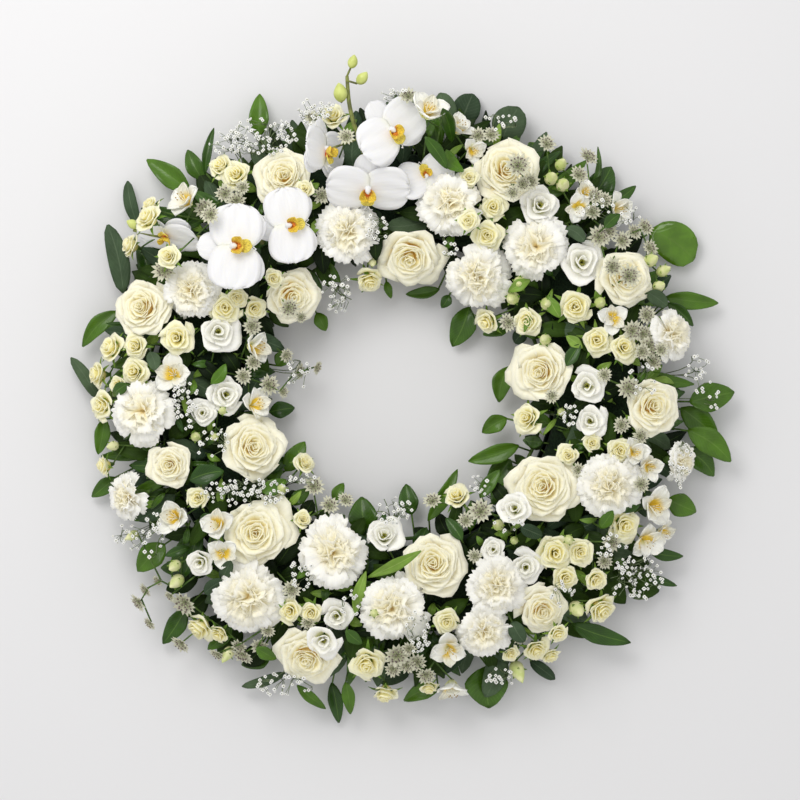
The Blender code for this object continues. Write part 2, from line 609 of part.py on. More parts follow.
def share_of(point, ends):
    """Which part of the ring a point lies in, where the parts end at some angles."""
    about = (math.degrees(math.atan2(point.y, point.x)) - ends[0]) % 360
    return sum(about >= (end - ends[0]) % 360 for end in ends)


def nearest_on(path, place):
    """The point of a path of straight pieces that is nearest to a place."""
    best = None
    for start, end in zip(path, path[1:]):
        along = end - start
        share = max(0.0, min(1.0, (place - start).dot(along) / along.length_squared))
        point = start + along * share
        if best is None or (place - point).length < (place - best).length:
            best = point
    return best


def lay_branch(wreath, node, radius, first, spread):
    """A branch that lies round the foam's foot, with a stem into the foam's side beside the others.

    Returns the branch's path.
    """
    steps = max(3, round(spread / 16))
    arc = []
    for i in range(steps + 1):
        about = math.radians(first + spread * i / steps)
        arc.append(Vector((radius * math.cos(about), radius * math.sin(about), BRANCH_HEIGHT)))
    wreath.add(node, tube(arc, SIZES["spray"], 3), "stalk")
    inward = -1 if radius > RING_RADIUS else 1
    for hold in sorted(arc[1:-1], key=lambda place: (place - arc[steps // 2]).length):
        rise = hold + Vector((0, 0, 16 * MM))
        path = [rise, rise + outward(hold) * (inward * 30 * MM)]
        if wreath.is_clear(node, *tube(path, SIZES["spray"] + 2 * FIT, 4)):
            break
    wreath.add(node, tube([hold, rise + Vector((0, 0, 2 * MM))], SIZES["spray"], 3), "stalk")
    wreath.add_root(node, path, SIZES["spray"], 4)
    return arc


def plant_leaf(wreath, node, arc, start, tip, width, colour, number):
    """A leaf on its branch, at the first height where it crosses nothing."""
    for rise in range(len(LEAF_HEIGHTS)):
        height = LEAF_HEIGHTS[(number + rise) % len(LEAF_HEIGHTS)] * MM
        start.z, tip.z = height, height - 5 * MM
        hold = nearest_on(arc, start) + Vector((0, 0, (number % 7 - 3) * 0.2 * MM))
        shape = leaf(hold, start, tip, width, 4 * MM)
        if wreath.is_clear(node, *shape):
            wreath.add(node, shape, colour)
            return
    print("no room for a leaf of", node, "at", [round(c * 1000) for c in start])


def plant_cloud(wreath, name, ends, arcs, cloud, draw):
    """Florets of baby's breath, each on a thread from the branch below it."""
    across, down, wide, tall, count = cloud[:5]
    for _ in range(count):
        angle = draw.uniform(0, 2 * math.pi)
        away = math.sqrt(draw.random())
        centre, _ = seat(across + wide * away * math.cos(angle), down + tall * away * math.sin(angle))
        centre.z += draw.uniform(-4, 8) * MM
        node = f"{name}_{share_of(centre, ends)}"
        centre = resting_on_bigger(wreath, node, centre, FLORET_SIZE)
        shape = floret(nearest_on(arcs[node], centre), centre, FLORET_SIZE)
        if wreath.is_clear(node, *shape):
            wreath.add(node, shape, "white")


def plant_fringe(wreath, name, radius, ends, leaves):
    """Leafy branches that lie round the foam, with their leaves and the baby's breath among them."""
    arcs = {}
    for number, end in enumerate(ends, 1):
        node = f"{name}_{number}"
        spread = (ends[number % len(ends)] - end) % 360
        arcs[node] = lay_branch(wreath, node, radius, end + BRANCH_GAP, spread - 2 * BRANCH_GAP)
    for number, (a, d, tip_a, tip_d, width, colour) in enumerate(leaves):
        start, tip = on_face(a, d), on_face(tip_a, tip_d)
        node = f"{name}_{share_of(start, ends)}"
        plant_leaf(wreath, node, arcs[node], start, tip, width * PIXEL, colour, number)
    draw = random.Random(SEED)
    for cloud in CLOUDS:
        if cloud[5] == radius:
            plant_cloud(wreath, name, ends, arcs, cloud, draw)


def crowded_heads(wreath):
    """Every flower head, its petals pressed flat where it meets a neighbour."""
    points, faces, owners = [], [], []
    for node, solids in wreath.solids.items():
        for shape_points, shape_faces, _ in solids:
            faces += [tuple(i + len(points) for i in face) for face in shape_faces]
            points += shape_points
            owners += [node] * len(shape_faces)
    tree = BVHTree.FromPolygons(points, faces)
    for node, kind, centre, axis, radius, turn in wreath.heads:
        limits = []
        for other, _, place, _, other_radius, _ in wreath.heads:
            away = place - centre
            if other != node and away.length < 1.25 * (radius + other_radius):
                room = away.length * radius / (radius + other_radius) - FIT / 2
                limits.append((away.normalized(), room))
        for place, _, face, distance in tree.find_nearest_range(centre, radius * 1.3):
            if owners[face] != node and distance > 1e-6:
                limits.append(((place - centre) / distance, distance - FIT))
        head_points, head_faces = petalled_head(kind, centre, axis, radius, turn)
        pressed = []
        for point in head_points:
            ray = point - centre
            share = min([1.0] + [room / ray.dot(way) for way, room in limits if ray.dot(way) > room])
            pressed.append(centre + ray * share)
        tightest = min([room for _, room in limits], default=radius) / radius
        if tightest < 0.35:
            print(f"{node}: a {kind} at {[round(c * 1000) for c in centre]} is pressed to {tightest:.2f}")
        yield node, pressed, head_faces, HEADS[kind]["colour"]


def material(colour):
    """The material of a colour, made once."""
    found = bpy.data.materials.get(colour)
    if found:
        return found
    base, roughness = COLOURS[colour]
    made = bpy.data.materials.new(colour)
    made.use_nodes = True
    made.diffuse_color = (*base, 1.0)
    shader = made.node_tree.nodes["Principled BSDF"]
    shader.inputs["Base Color"].default_value = (*base, 1.0)
    shader.inputs["Roughness"].default_value = roughness
    shader.inputs["Metallic"].default_value = 0.0
    return made


def mesh_object(name, points, faces, colour, collection=None):
    mesh = bpy.data.meshes.new(name)
    mesh.from_pydata([tuple(p) for p in points], [], faces)
    mesh.materials.append(material(colour))
    bm = bmesh.new()
    bm.from_mesh(mesh)
    bmesh.ops.recalc_face_normals(bm, faces=bm.faces)
    bm.to_mesh(mesh)
    bm.free()
    made = bpy.data.objects.new(name, mesh)
    (collection or bpy.context.scene.collection).objects.link(made)
    return made


def combined(name, shapes, operation, solver="EXACT"):
    """One object from several closed shapes: the first, joined with or cut by all the others."""
    others = bpy.data.collections.new(name + "_others")
    bpy.context.scene.collection.children.link(others)
    body = mesh_object(name, *shapes[0])
    for number, shape in enumerate(shapes[1:]):
        mesh_object(f"{name}_{number}", *shape, collection=others)
    if len(shapes) > 1:
        modifier = body.modifiers.new(operation.lower(), "BOOLEAN")
        modifier.operation = operation
        modifier.operand_type = "COLLECTION"
        modifier.collection = others
        modifier.solver = solver
        modifier.material_mode = "TRANSFER"
        graph = bpy.context.evaluated_depsgraph_get()
        joined = bpy.data.meshes.new_from_object(body.evaluated_get(graph))
        body.modifiers.clear()
        body.data = joined
        body.data.name = name
    for helper in list(others.objects):
        bpy.data.objects.remove(helper)
    bpy.data.collections.remove(others)
    return body


def base_tray():
    half = FOAM_HALF_WIDTH + 0.6 * MM
    section = [
        (-half - TRAY_WALL, 0.0), (half + TRAY_WALL, 0.0), (half + 2 * TRAY_WALL, TRAY_HEIGHT),
        (half + TRAY_WALL, TRAY_HEIGHT), (half, TRAY_FLOOR), (-half, TRAY_FLOOR),
        (-half - TRAY_WALL, TRAY_HEIGHT), (-half - 2 * TRAY_WALL, TRAY_HEIGHT),
    ]
    return turned_ring(section, RING_STEPS)


def foam_ring():
    half = FOAM_HALF_WIDTH
    section = [
        (-half, TRAY_FLOOR + FIT), (half, TRAY_FLOOR + FIT), (half, FOAM_SHOULDER),
        (half * 0.7, FOAM_TOP - 3 * MM), (0.0, FOAM_TOP), (-half * 0.7, FOAM_TOP - 3 * MM),
        (-half, FOAM_SHOULDER),
    ]
    return turned_ring(section, RING_STEPS)


def stem_holes(wreath):
    """Cutters for the holes that the stems stand in."""
    for (top, end), radius, sides in wreath.holes:
        along = (end - top).normalized()
        yield *tube([top, end + along * (2 * FIT)], radius + FIT, sides), "foam"


def clear_scene():
    for old in list(bpy.data.objects):
        bpy.data.objects.remove(old)


def centre_on_origin():
    """Moves every object so that the middle of the whole wreath's box stands on the origin."""
    corners = [o.matrix_world @ Vector(c) for o in bpy.context.scene.objects for c in o.bound_box]
    middle = [(min(c[i] for c in corners) + max(c[i] for c in corners)) / 2 for i in (0, 1)]
    shift = Matrix.Translation((-middle[0], -middle[1], 0.0))
    for made in bpy.context.scene.objects:
        made.data.transform(shift)


def build():
    clear_scene()
    wreath = Wreath()
    foam = foam_ring()
    for number, place in enumerate(ROSES, 1):
        plant_bloom(wreath, f"rose_{number:02d}", "rose", [place], SIZES["rose"])
    for number, places in enumerate(CARNATIONS, 1):
        plant_bloom(wreath, f"carnation_{number:02d}", "carnation", places, SIZES["carnation"])
    for node, plan in ORCHIDS.items():
        plant_orchids(wreath, node, plan)
    hubs = {node: plant_spray(wreath, node, foot, flowers) for node, (foot, flowers) in SPRAYS.items()}
    for node, hub in hubs.items():
        plant_collar(wreath, node, hub)
    plant_fringe(wreath, "outer_leaves", OUTER_BRANCH, OUTER_ENDS, OUTER_LEAVES)
    plant_fringe(wreath, "inner_leaves", INNER_BRANCH, INNER_ENDS, INNER_LEAVES)
    shapes = {node: list(solids) for node, solids in wreath.solids.items()}
    wreath.add("foam_ring", foam, "foam")
    for node, points, faces, colour in crowded_heads(wreath):
        shapes.setdefault(node, []).insert(0, (points, faces, colour))
    mesh_object("base_tray", *base_tray(), "tray")
    combined("foam_ring", [(*foam, "foam"), *stem_holes(wreath)], "DIFFERENCE")
    for node, solids in shapes.items():
        combined(node, solids, "UNION")
    centre_on_origin()


build()
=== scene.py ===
import math

import bpy
import numpy as np
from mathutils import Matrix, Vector


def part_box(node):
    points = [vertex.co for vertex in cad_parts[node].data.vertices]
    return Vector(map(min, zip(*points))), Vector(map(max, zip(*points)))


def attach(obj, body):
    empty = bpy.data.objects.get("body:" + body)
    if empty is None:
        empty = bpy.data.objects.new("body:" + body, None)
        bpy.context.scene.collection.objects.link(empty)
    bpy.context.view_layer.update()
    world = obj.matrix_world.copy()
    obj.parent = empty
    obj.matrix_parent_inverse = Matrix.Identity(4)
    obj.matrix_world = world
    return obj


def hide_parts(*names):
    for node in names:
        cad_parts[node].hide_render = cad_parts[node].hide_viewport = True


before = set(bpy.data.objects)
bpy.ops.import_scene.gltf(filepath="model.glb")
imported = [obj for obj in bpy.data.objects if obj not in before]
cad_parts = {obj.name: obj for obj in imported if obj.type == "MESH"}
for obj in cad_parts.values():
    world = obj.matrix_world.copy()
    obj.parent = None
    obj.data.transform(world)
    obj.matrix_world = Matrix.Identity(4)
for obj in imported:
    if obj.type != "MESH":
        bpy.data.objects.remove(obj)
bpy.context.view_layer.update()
print("frame loaded")

mm = 0.001
goldenAngle = math.pi * (3 - math.sqrt(5))

# The wreath's layout, as in the part's source: places on its face are in the photograph's pixels
layout = {
    "pixel": 1.05 * mm,  # what one pixel spans at the height of the blooms
    "middle": (397, 392),  # the pixel over the ring's centre
    "ringRadius": 210 * mm,
    "foamHalfWidth": 42 * mm,
    "foamTop": 52 * mm,
    "cushionRadius": 215 * mm,  # the cushion-shaped rise that the blooms stand on
    "cushionHalfWidth": 112 * mm,
    "cushionBase": 24 * mm,
    "cushionRise": 58 * mm,
    "cushionEdge": 0.96,
    "hubHeight": 57 * mm,  # where the stalks of a spray part
    "stemEnd": 24 * mm,
    "stemReach": 36 * mm,
    "branchHeight": 15 * mm,
    "outerBranch": 264 * mm,
    "innerBranch": 156 * mm,
    "breathParting": 197 * mm,  # clouds of baby's breath nearer to the middle stand on the inner branches
    "headTurn": 0.7,  # how far a head is turned on its stem for each pixel across (radians)
    "footShare": 0.8,  # how much of a bloom's distance from the ring's middle line its stem's end keeps
}

# Radii of the stems and stalks
stemLook = {
    "rose": 2.7 * mm, "carnation": 2.2 * mm, "spray": 2.0 * mm, "flower": 0.9 * mm, "branch": 2.0 * mm,
    "leaf": 1.0 * mm, "orchid": (2.8 * mm, 1.9 * mm), "orchidFoot": 2.7 * mm, "orchidFlower": 1.3 * mm,
    "orchidBud": 1.1 * mm,
}

# Pixel across, pixel down, radius in pixels, and for some the lift (mm) and the way they lean
roses = [
    (410, 258, 33), (284, 176, 31), (292, 296, 29), (142, 307, 31), (253, 447, 34), (170, 465, 24),
    (256, 533, 37), (307, 658, 32), (433, 564, 35), (543, 487, 38), (543, 611, 26), (541, 372, 33),
    (653, 407, 31), (625, 277, 30), (506, 170, 35),
]
carnations = [
    [(143, 411, 31)], [(128, 497, 24, 0, (-0.5, 0.0))], [(192, 291, 28)], [(347, 232, 31)], [(450, 203, 34)],
    [(477, 276, 33)], [(536, 247, 32)], [(671, 335, 26, 0, (0.5, 0.1))], [(609, 486, 33)], [(392, 608, 34)],
    [(333, 552, 35)], [(249, 597, 36)], [(497, 585, 30), (484, 631, 27)], [(681, 462, 21, -6, (0.5, 0.0))],
]
# Each spray: where it stands in the foam, and its flowers by kind, with the same values as a rose's
sprays = {
    "lisianthus_1": ((210, 366), {"lisianthus": [(219, 332, 19), (226, 395, 20), (203, 413, 13)],
        "bud": [(223, 411, 5, 8)]}),
    "lisianthus_2": ((345, 598), {"lisianthus": [(337, 616, 16), (323, 641, 17, 10)]}),
    "lisianthus_3": ((516, 545), {"lisianthus": [(514, 508, 18), (526, 567, 17), (493, 549, 12)],
        "sprayRose": [(457, 496, 12)], "masterwort": [(433, 502, 9), (481, 512, 12), (466, 521, 8)]}),
    "alstroemeria_1": ((206, 348), {"alstroemeria": [(174, 374, 18, 0, (0.0, 0.2)),
        (257, 346, 17, 0, (1.2, 0.1)), (257, 404, 16, 6, (0.6, 0.2))], "masterwort": [(252, 326, 9),
        (253, 362, 8)]}),
    "alstroemeria_2": ((204, 503), {"alstroemeria": [(174, 517, 18, 0, (-0.3, 0.3)),
        (217, 525, 17, 0, (-0.2, 0.2))], "sprayRose": [(198, 498, 10)], "lisianthus": [(200, 563, 15)],
        "bud": [(174, 566, 7), (176, 582, 8)]}),
    "alstroemeria_3": ((446, 172), {"alstroemeria": [(428, 113, 18, 0, (0.3, 0.2)),
        (460, 126, 15, 0, (0.7, 0.7)), (474, 150, 12, 0, (0.4, -0.5))]}),
    "alstroemeria_4": ((568, 242), {"lisianthus": [(582, 262, 22), (540, 205, 20)],
        "alstroemeria": [(578, 209, 13, 0, (0.0, -0.5)), (621, 208, 15, 0, (0.5, -0.3))],
        "masterwort": [(594, 196, 9), (588, 157, 10), (547, 144, 9)], "bud": [(551, 178, 8),
        (563, 185, 8)]}),
    "alstroemeria_5": ((592, 510), {"alstroemeria": [(655, 508, 18), (650, 467, 14), (648, 543, 16),
        (666, 534, 13)], "sprayRose": [(625, 526, 15)]}),
    "alstroemeria_6": ((446, 612), {"alstroemeria": [(449, 650, 17), (453, 692, 17, 0, (0, -0.8))],
        "sprayRose": [(447, 622, 12)], "masterwort": [(426, 675, 9)]}),
    "spray_roses_1": ((249, 221), {"sprayRose": [(220, 165, 12), (236, 174, 13), (149, 219, 13),
        (127, 244, 11, 0, (-0.6, 0))], "alstroemeria": [(184, 200, 18, 0, (-0.4, 0.3))],
        "masterwort": [(225, 194, 9), (205, 209, 10), (165, 271, 11)]}),
    "spray_roses_2": ((186, 352), {"sprayRose": [(177, 338, 15), (135, 346, 12), (134, 372, 13),
        (109, 348, 13, 0, (-0.3, 0.3)), (95, 374, 12, 0, (-0.5, 0)), (100, 406, 13), (225, 308, 15),
        (255, 309, 11)]}),
    "spray_roses_3": ((488, 222), {"sprayRose": [(493, 207, 12), (468, 222, 10, 6), (487, 236, 14, 6)],
        "masterwort": [(517, 168, 12), (512, 194, 7), (530, 183, 8)]}),
    "spray_roses_4": ((562, 328), {"sprayRose": [(487, 322, 12), (527, 321, 13), (575, 307, 16),
        (597, 340, 14), (624, 347, 13)], "bud": [(513, 298, 8), (547, 304, 8)],
        "masterwort": [(632, 331, 10), (648, 347, 11), (599, 237, 11), (627, 277, 11)]}),
    "spray_roses_5": ((573, 431), {"lisianthus": [(587, 386, 19), (590, 421, 16)],
        "sprayRose": [(527, 418, 14), (568, 455, 10), (592, 443, 9), (620, 451, 12)],
        "masterwort": [(604, 375, 7, 6), (628, 388, 11), (621, 425, 8)]}),
    "spray_roses_6": ((568, 541), {"sprayRose": [(555, 553, 17), (580, 552, 13), (566, 578, 12),
        (597, 580, 11), (603, 611, 15), (537, 651, 12), (558, 634, 10)], "bud": [(577, 609, 9),
        (518, 672, 9)], "masterwort": [(604, 561, 8)]}),
    "spray_roses_7": ((415, 596), {"sprayRose": [(367, 665, 16), (385, 697, 12, 0, (0, -0.5))],
        "lisianthus": [(384, 535, 18)], "masterwort": [(397, 655, 12)]}),
    "spray_roses_8": ((285, 590), {"sprayRose": [(290, 611, 12), (311, 613, 11), (197, 630, 14),
        (218, 636, 10)], "masterwort": [(243, 655, 11), (185, 603, 13), (260, 646, 9), (181, 644, 10)]}),
    "spray_roses_9": ((274, 499), {"sprayRose": [(305, 463, 10)], "bud": [(281, 489, 7)]}),
    "spray_roses_10": ((292, 530), {"sprayRose": [(303, 519, 9)], "masterwort": [(313, 487, 10),
        (329, 506, 9), (345, 501, 8)]}),
}
# Small flowers that only this dressed wreath has: they stand in the foam in pieces of their own
extraSprays = {
    "smallSpray1": ((352, 230), {"sprayRose": [(369, 281, 13)], "bud": [(372, 262, 5)]}),
    "smallSpray2": ((232, 312), {"masterwort": [(289, 308, 10), (301, 317, 6), (285, 355, 7)],
        "sprayRose": [(274, 279, 9), (237, 298, 10)]}),
    "smallSpray3": ((222, 372), {"masterwort": [(243, 376, 8), (268, 385, 10), (282, 392, 6), (297, 371, 8),
        (315, 367, 7)], "bud": [(196, 437, 6), (215, 437, 5)]}),
    "smallSpray4": ((236, 232), {"masterwort": [(237, 201, 9), (213, 217, 9), (243, 188, 7)],
        "sprayRose": [(170, 257, 11), (148, 204, 10)]}),
    "smallSpray5": ((176, 448), {"sprayRose": [(101, 466, 10, 0, (-0.5, 0)), (117, 385, 9)],
        "bud": [(112, 446, 6)]}),
    "smallSpray6": ((228, 552), {"masterwort": [(138, 603, 9), (145, 590, 7), (157, 581, 6), (149, 624, 7),
        (170, 596, 6)], "alstroemeria": [(223, 552, 14)], "bud": [(131, 536, 6)]}),
    "smallSpray7": ((272, 568), {"masterwort": [(292, 589, 9), (308, 622, 7), (217, 655, 8), (239, 646, 8),
        (268, 630, 7)], "bud": [(227, 655, 7)]}),
    "smallSpray8": ((402, 612), {"masterwort": [(393, 669, 8), (407, 665, 8), (417, 662, 9), (409, 648, 7)],
        "sprayRose": [(429, 690, 9, 0, (0, -0.5))], "bud": [(374, 612, 5)]}),
    "smallSpray9": ((520, 570), {"bud": [(498, 525, 7), (514, 540, 5), (568, 539, 6)],
        "masterwort": [(475, 556, 7), (611, 542, 9), (520, 637, 7)], "sprayRose": [(552, 658, 9),
        (511, 655, 8)]}),
    "smallSpray10": ((590, 462), {"alstroemeria": [(635, 452, 14)], "masterwort": [(640, 436, 8),
        (552, 396, 7), (578, 470, 7), (640, 484, 8)], "bud": [(561, 412, 5)]}),
    "smallSpray11": ((586, 318), {"masterwort": [(646, 315, 9), (643, 334, 9), (641, 352, 8), (653, 362, 8),
        (509, 322, 9), (660, 350, 7)], "bud": [(520, 283, 8), (600, 303, 7), (545, 340, 7)],
        "alstroemeria": [(612, 318, 14)]}),
    "smallSpray12": ((560, 226), {"masterwort": [(579, 175, 9), (604, 200, 8), (592, 212, 8), (608, 232, 9),
        (622, 241, 9), (645, 227, 9), (650, 248, 8), (611, 268, 9), (634, 232, 8)], "bud": [(561, 164, 7),
        (651, 260, 8), (664, 270, 7), (659, 286, 7)], "alstroemeria": [(586, 192, 13)]}),
    "smallSpray13": ((470, 190), {"masterwort": [(522, 186, 8), (491, 135, 8), (478, 136, 8),
        (408, 100, 9)], "sprayRose": [(469, 178, 9)]}),
    "smallSpray14": ((330, 190), {"sprayRose": [(333, 115, 12), (305, 190, 9)],
        "masterwort": [(347, 140, 8), (322, 196, 8), (312, 118, 7)]}),
}
# Each orchid stem: where it stands in the foam, its flowers (with lift, lean, and turn in degrees), the
# stem's route (across, down, height in mm), and its buds with their slant in degrees
orchids = {
    "orchid_left": {
        "foot": (262, 242),
        "flowers": [(238, 248, 43, 42, (0.0, 0.05), 268), (291, 226, 38, 20, (0.12, 0.0), 278),
                    (168, 236, 34, 18, (-0.2, -1.6), 30)],
        "route": [(262, 242, 84), (225, 238, 96), (164, 238, 84), (130, 229, 66)],
        "buds": [(148, 221, 7, -30), (133, 225, 6, -60)],
    },
    "orchid_top": {
        "foot": (376, 190),
        "flowers": [(368, 190, 42, 16, (0.0, -0.75), 178), (392, 134, 39, 40, (0.42, -0.25), 216),
                    (325, 153, 36, 30, (1.7, -0.1), 80), (425, 176, 30, 4, (0.2, 0.1), 20)],
        "route": [(376, 190, 84), (366, 160, 92), (357, 134, 97), (350, 112, 97), (348, 92, 92),
                  (347, 74, 88)],
        "buds": [(352, 64, 6.5, 15), (361, 80, 7, 40), (340, 96, 9, -8)],
    },
}
# Start and tip of each blade and its width, in pixels
outerLeaves = [
    (257, 134, 258, 90, 20, "leaf"), (188, 190, 144, 157, 22, "leaf"), (201, 178, 185, 147, 18, "leaf"),
    (203, 172, 212, 125, 9, "leaf"), (134, 222, 124, 178, 13, "gumLeaf"),
    (121, 292, 105, 223, 21, "gumLeaf"), (146, 278, 134, 245, 18, "leaf"), (115, 310, 79, 346, 18, "leaf"),
    (94, 398, 67, 357, 13, "gumLeaf"), (102, 418, 95, 455, 16, "leaf"), (112, 478, 88, 498, 16, "leaf"),
    (163, 545, 135, 573, 26, "leaf"), (184, 610, 160, 647, 20, "leaf"), (270, 655, 240, 668, 20, "leaf"),
    (284, 676, 240, 690, 10, "gumLeaf"), (296, 688, 325, 712, 11, "leaf"), (331, 686, 338, 727, 15, "leaf"),
    (345, 684, 350, 717, 13, "leaf"), (378, 684, 410, 675, 15, "gumLeaf"), (440, 690, 404, 704, 18, "leaf"),
    (489, 668, 490, 712, 44, "leaf"), (500, 652, 487, 700, 24, "gumLeaf"),
    (532, 664, 557, 683, 12, "gumLeaf"), (573, 626, 633, 645, 19, "leaf"),
    (630, 578, 662, 594, 32, "underLeaf"), (652, 553, 686, 558, 12, "leaf"),
    (652, 578, 680, 588, 8, "leaf"), (670, 500, 699, 513, 24, "leaf"), (686, 450, 718, 477, 24, "leaf"),
    (690, 430, 734, 462, 26, "leaf"), (684, 408, 722, 440, 26, "leaf"), (692, 402, 738, 392, 30, "leaf"),
    (668, 296, 722, 302, 18, "leaf"), (670, 302, 696, 325, 13, "leaf"),
    (654, 228, 698, 258, 40, "broadLeaf"), (608, 205, 638, 184, 13, "leaf"),
    (594, 196, 614, 164, 28, "leaf"), (592, 190, 600, 144, 6, "leaf"), (530, 140, 556, 166, 16, "leaf"),
    (503, 138, 520, 104, 34, "gumLeaf"), (462, 120, 474, 90, 28, "gumLeaf"),
    (452, 118, 440, 90, 20, "gumLeaf"), (428, 108, 412, 92, 10, "leaf"),
    (224, 618, 198, 640, 22, "underLeaf"), (240, 632, 216, 658, 22, "underLeaf"),
    (264, 648, 242, 668, 22, "underLeaf"), (206, 598, 180, 618, 20, "underLeaf"),
    (196, 580, 164, 592, 20, "underLeaf"), (596, 556, 640, 588, 30, "underLeaf"),
    (606, 548, 652, 566, 26, "underLeaf"), (596, 572, 628, 606, 26, "underLeaf"),
    (580, 588, 606, 622, 22, "underLeaf"), (214, 218, 172, 192, 26, "underLeaf"),
    (204, 240, 152, 228, 28, "underLeaf"), (198, 258, 138, 262, 24, "underLeaf"),
    (222, 202, 196, 168, 24, "underLeaf"), (196, 226, 138, 206, 20, "leaf"),
    (190, 268, 132, 276, 20, "underLeaf"), (184, 572, 158, 570, 16, "leaf"),
    (230, 626, 206, 652, 16, "leaf"), (556, 620, 590, 640, 18, "underLeaf"),
]
innerLeaves = [
    (316, 312, 325, 330, 14, "leaf"), (386, 280, 391, 297, 8, "leaf"), (440, 288, 406, 293, 12, "leaf"),
    (450, 294, 442, 307, 11, "leaf"), (470, 306, 453, 346, 26, "leaf"), (512, 325, 484, 334, 16, "leaf"),
    (527, 332, 516, 342, 14, "gumLeaf"), (510, 366, 500, 402, 20, "leaf"), (508, 418, 483, 433, 18, "leaf"),
    (520, 446, 469, 462, 19, "leaf"), (512, 460, 488, 490, 24, "leaf"), (428, 522, 458, 470, 15, "leaf"),
    (412, 516, 406, 485, 20, "leaf"), (366, 534, 361, 498, 30, "leaf"), (333, 502, 343, 484, 12, "leaf"),
    (284, 472, 304, 442, 20, "leaf"), (268, 412, 293, 408, 17, "leaf"), (276, 366, 287, 350, 15, "leaf"),
]
# Leaves that lie over the blooms: start, tip and width in pixels
topLeaves = [
    (368, 577, 421, 550, 12, "freshLeaf"), (355, 616, 366, 571, 12, "freshLeaf"),
    (190, 480, 224, 471, 20, "leaf"), (262, 492, 286, 480, 16, "leaf"), (566, 366, 580, 344, 13, "leaf"),
    (346, 630, 362, 644, 12, "leaf"), (256, 648, 276, 660, 13, "leaf"), (604, 228, 620, 214, 12, "leaf"),
    (128, 384, 112, 396, 12, "leaf"), (425, 139, 447, 170, 13, "leaf"), (446, 150, 463, 173, 14, "leaf"),
    (442, 112, 452, 142, 14, "leaf"), (204, 594, 224, 580, 13, "gumLeaf"),
    (222, 580, 232, 560, 12, "gumLeaf"), (520, 526, 542, 536, 13, "gumLeaf"),
    (512, 622, 524, 642, 16, "gumLeaf"), (600, 528, 612, 510, 13, "leaf"),
    (150, 352, 156, 370, 13, "gumLeaf"), (648, 292, 668, 306, 15, "gumLeaf"),
    (566, 228, 584, 242, 13, "gumLeaf"), (548, 296, 560, 318, 13, "freshLeaf"),
    (508, 292, 530, 280, 12, "freshLeaf"), (480, 498, 500, 470, 14, "leaf"),
    (462, 540, 446, 518, 13, "leaf"), (640, 500, 622, 512, 12, "leaf"), (212, 384, 226, 364, 12, "leaf"),
    (582, 348, 566, 336, 11, "freshLeaf"),
]
# Baby's breath: middle and spread of each cloud in pixels, and how many florets
clouds = [
    (262, 136, 36, 20, 86), (316, 112, 20, 16, 40), (228, 142, 20, 12, 24), (128, 538, 18, 14, 18),
    (284, 686, 30, 12, 34), (700, 374, 14, 22, 22), (636, 580, 28, 24, 80), (393, 94, 14, 6, 16),
    (682, 462, 12, 26, 26), (717, 400, 8, 10, 7), (337, 292, 15, 22, 38), (394, 510, 20, 14, 30),
    (480, 484, 10, 12, 12), (298, 374, 16, 14, 16), (246, 492, 46, 14, 86), (376, 228, 13, 14, 24),
    (186, 404, 14, 26, 44), (152, 535, 12, 24, 22), (302, 574, 12, 16, 22), (418, 632, 13, 22, 36),
    (568, 417, 10, 14, 20), (500, 680, 14, 12, 18), (562, 594, 18, 16, 16), (612, 212, 30, 14, 20),
    (210, 440, 22, 16, 20), (446, 246, 12, 14, 10), (612, 546, 18, 14, 18), (300, 478, 16, 10, 14),
    (508, 524, 14, 10, 10), (350, 602, 12, 14, 12), (642, 380, 14, 20, 14), (500, 122, 20, 10, 14),
]


def unit(vector):
    # Each vector over its length
    return vector / np.maximum(np.linalg.norm(vector, axis=-1, keepdims=True), 1e-12)


def raised(height):
    # A step straight up
    return np.array([0, 0, height])


def pointsOf(x, y, z):
    # Points from their coordinates, which may be grids, rows or single numbers
    return np.stack(np.broadcast_arrays(x, y, z), axis=-1)


def onFace(across, down):
    # The place under a pixel of the photograph, from the ring's centre
    x = (across - layout["middle"][0]) * layout["pixel"]
    y = (layout["middle"][1] - down) * layout["pixel"]
    return np.array([x, y, 0.0])


def seatOf(across, down, lift=0.0, lean=(0.0, 0.0)):
    # A bloom's place on the elliptic rise over the ring, and the rise's slope there, leant a little
    flat = onFace(across, down)
    distance = np.hypot(flat[0], flat[1])
    share = (distance - layout["cushionRadius"]) / layout["cushionHalfWidth"]
    share = float(np.clip(share, -layout["cushionEdge"], layout["cushionEdge"]))
    height = math.sqrt(1 - share * share)
    slope = unit(flat) * (share / layout["cushionHalfWidth"]) + raised(height / layout["cushionRise"])
    centre = flat + raised(layout["cushionBase"] + layout["cushionRise"] * height + lift * mm)
    axis = unit(unit(slope) + np.array([lean[0], lean[1], 0.0]))
    return centre, axis


def frameAbout(axis):
    # Two unit vectors square to an axis and to each other, by cross products
    side = raised(1.0) if abs(axis[2]) < 0.8 else np.array([0, 1.0, 0])
    first = unit(np.cross(axis, side))
    return first, np.cross(axis, first)


def surfaceOf(points, quads, layer, tint, material):
    # Repeats one shape's faces for all shapes. The last two axes before the coordinates run along and across
    # it, and give each point its place on the petal: across from -1 to 1, along from 0 to 1, and its layer.
    shape = points.shape[:-1]
    perShape = (-1,) + (1,) * (len(shape) - 1)
    across, along = np.linspace(-1, 1, shape[-1]), np.linspace(0, 1, shape[-2])[:, None]
    layer, tint = (np.asarray(value, float).reshape(perShape) for value in (layer, tint))
    petal = np.stack([np.broadcast_to(value, shape) for value in (across, along, layer)], axis=-1)
    shift = (np.arange(shape[0]) * math.prod(shape[1:]))[:, None, None]
    return {"points": points.reshape(-1, 3), "quads": (quads + shift).reshape(-1, 4),
            "petal": petal.reshape(-1, 3), "tint": np.broadcast_to(tint, shape).ravel(), "material": material}


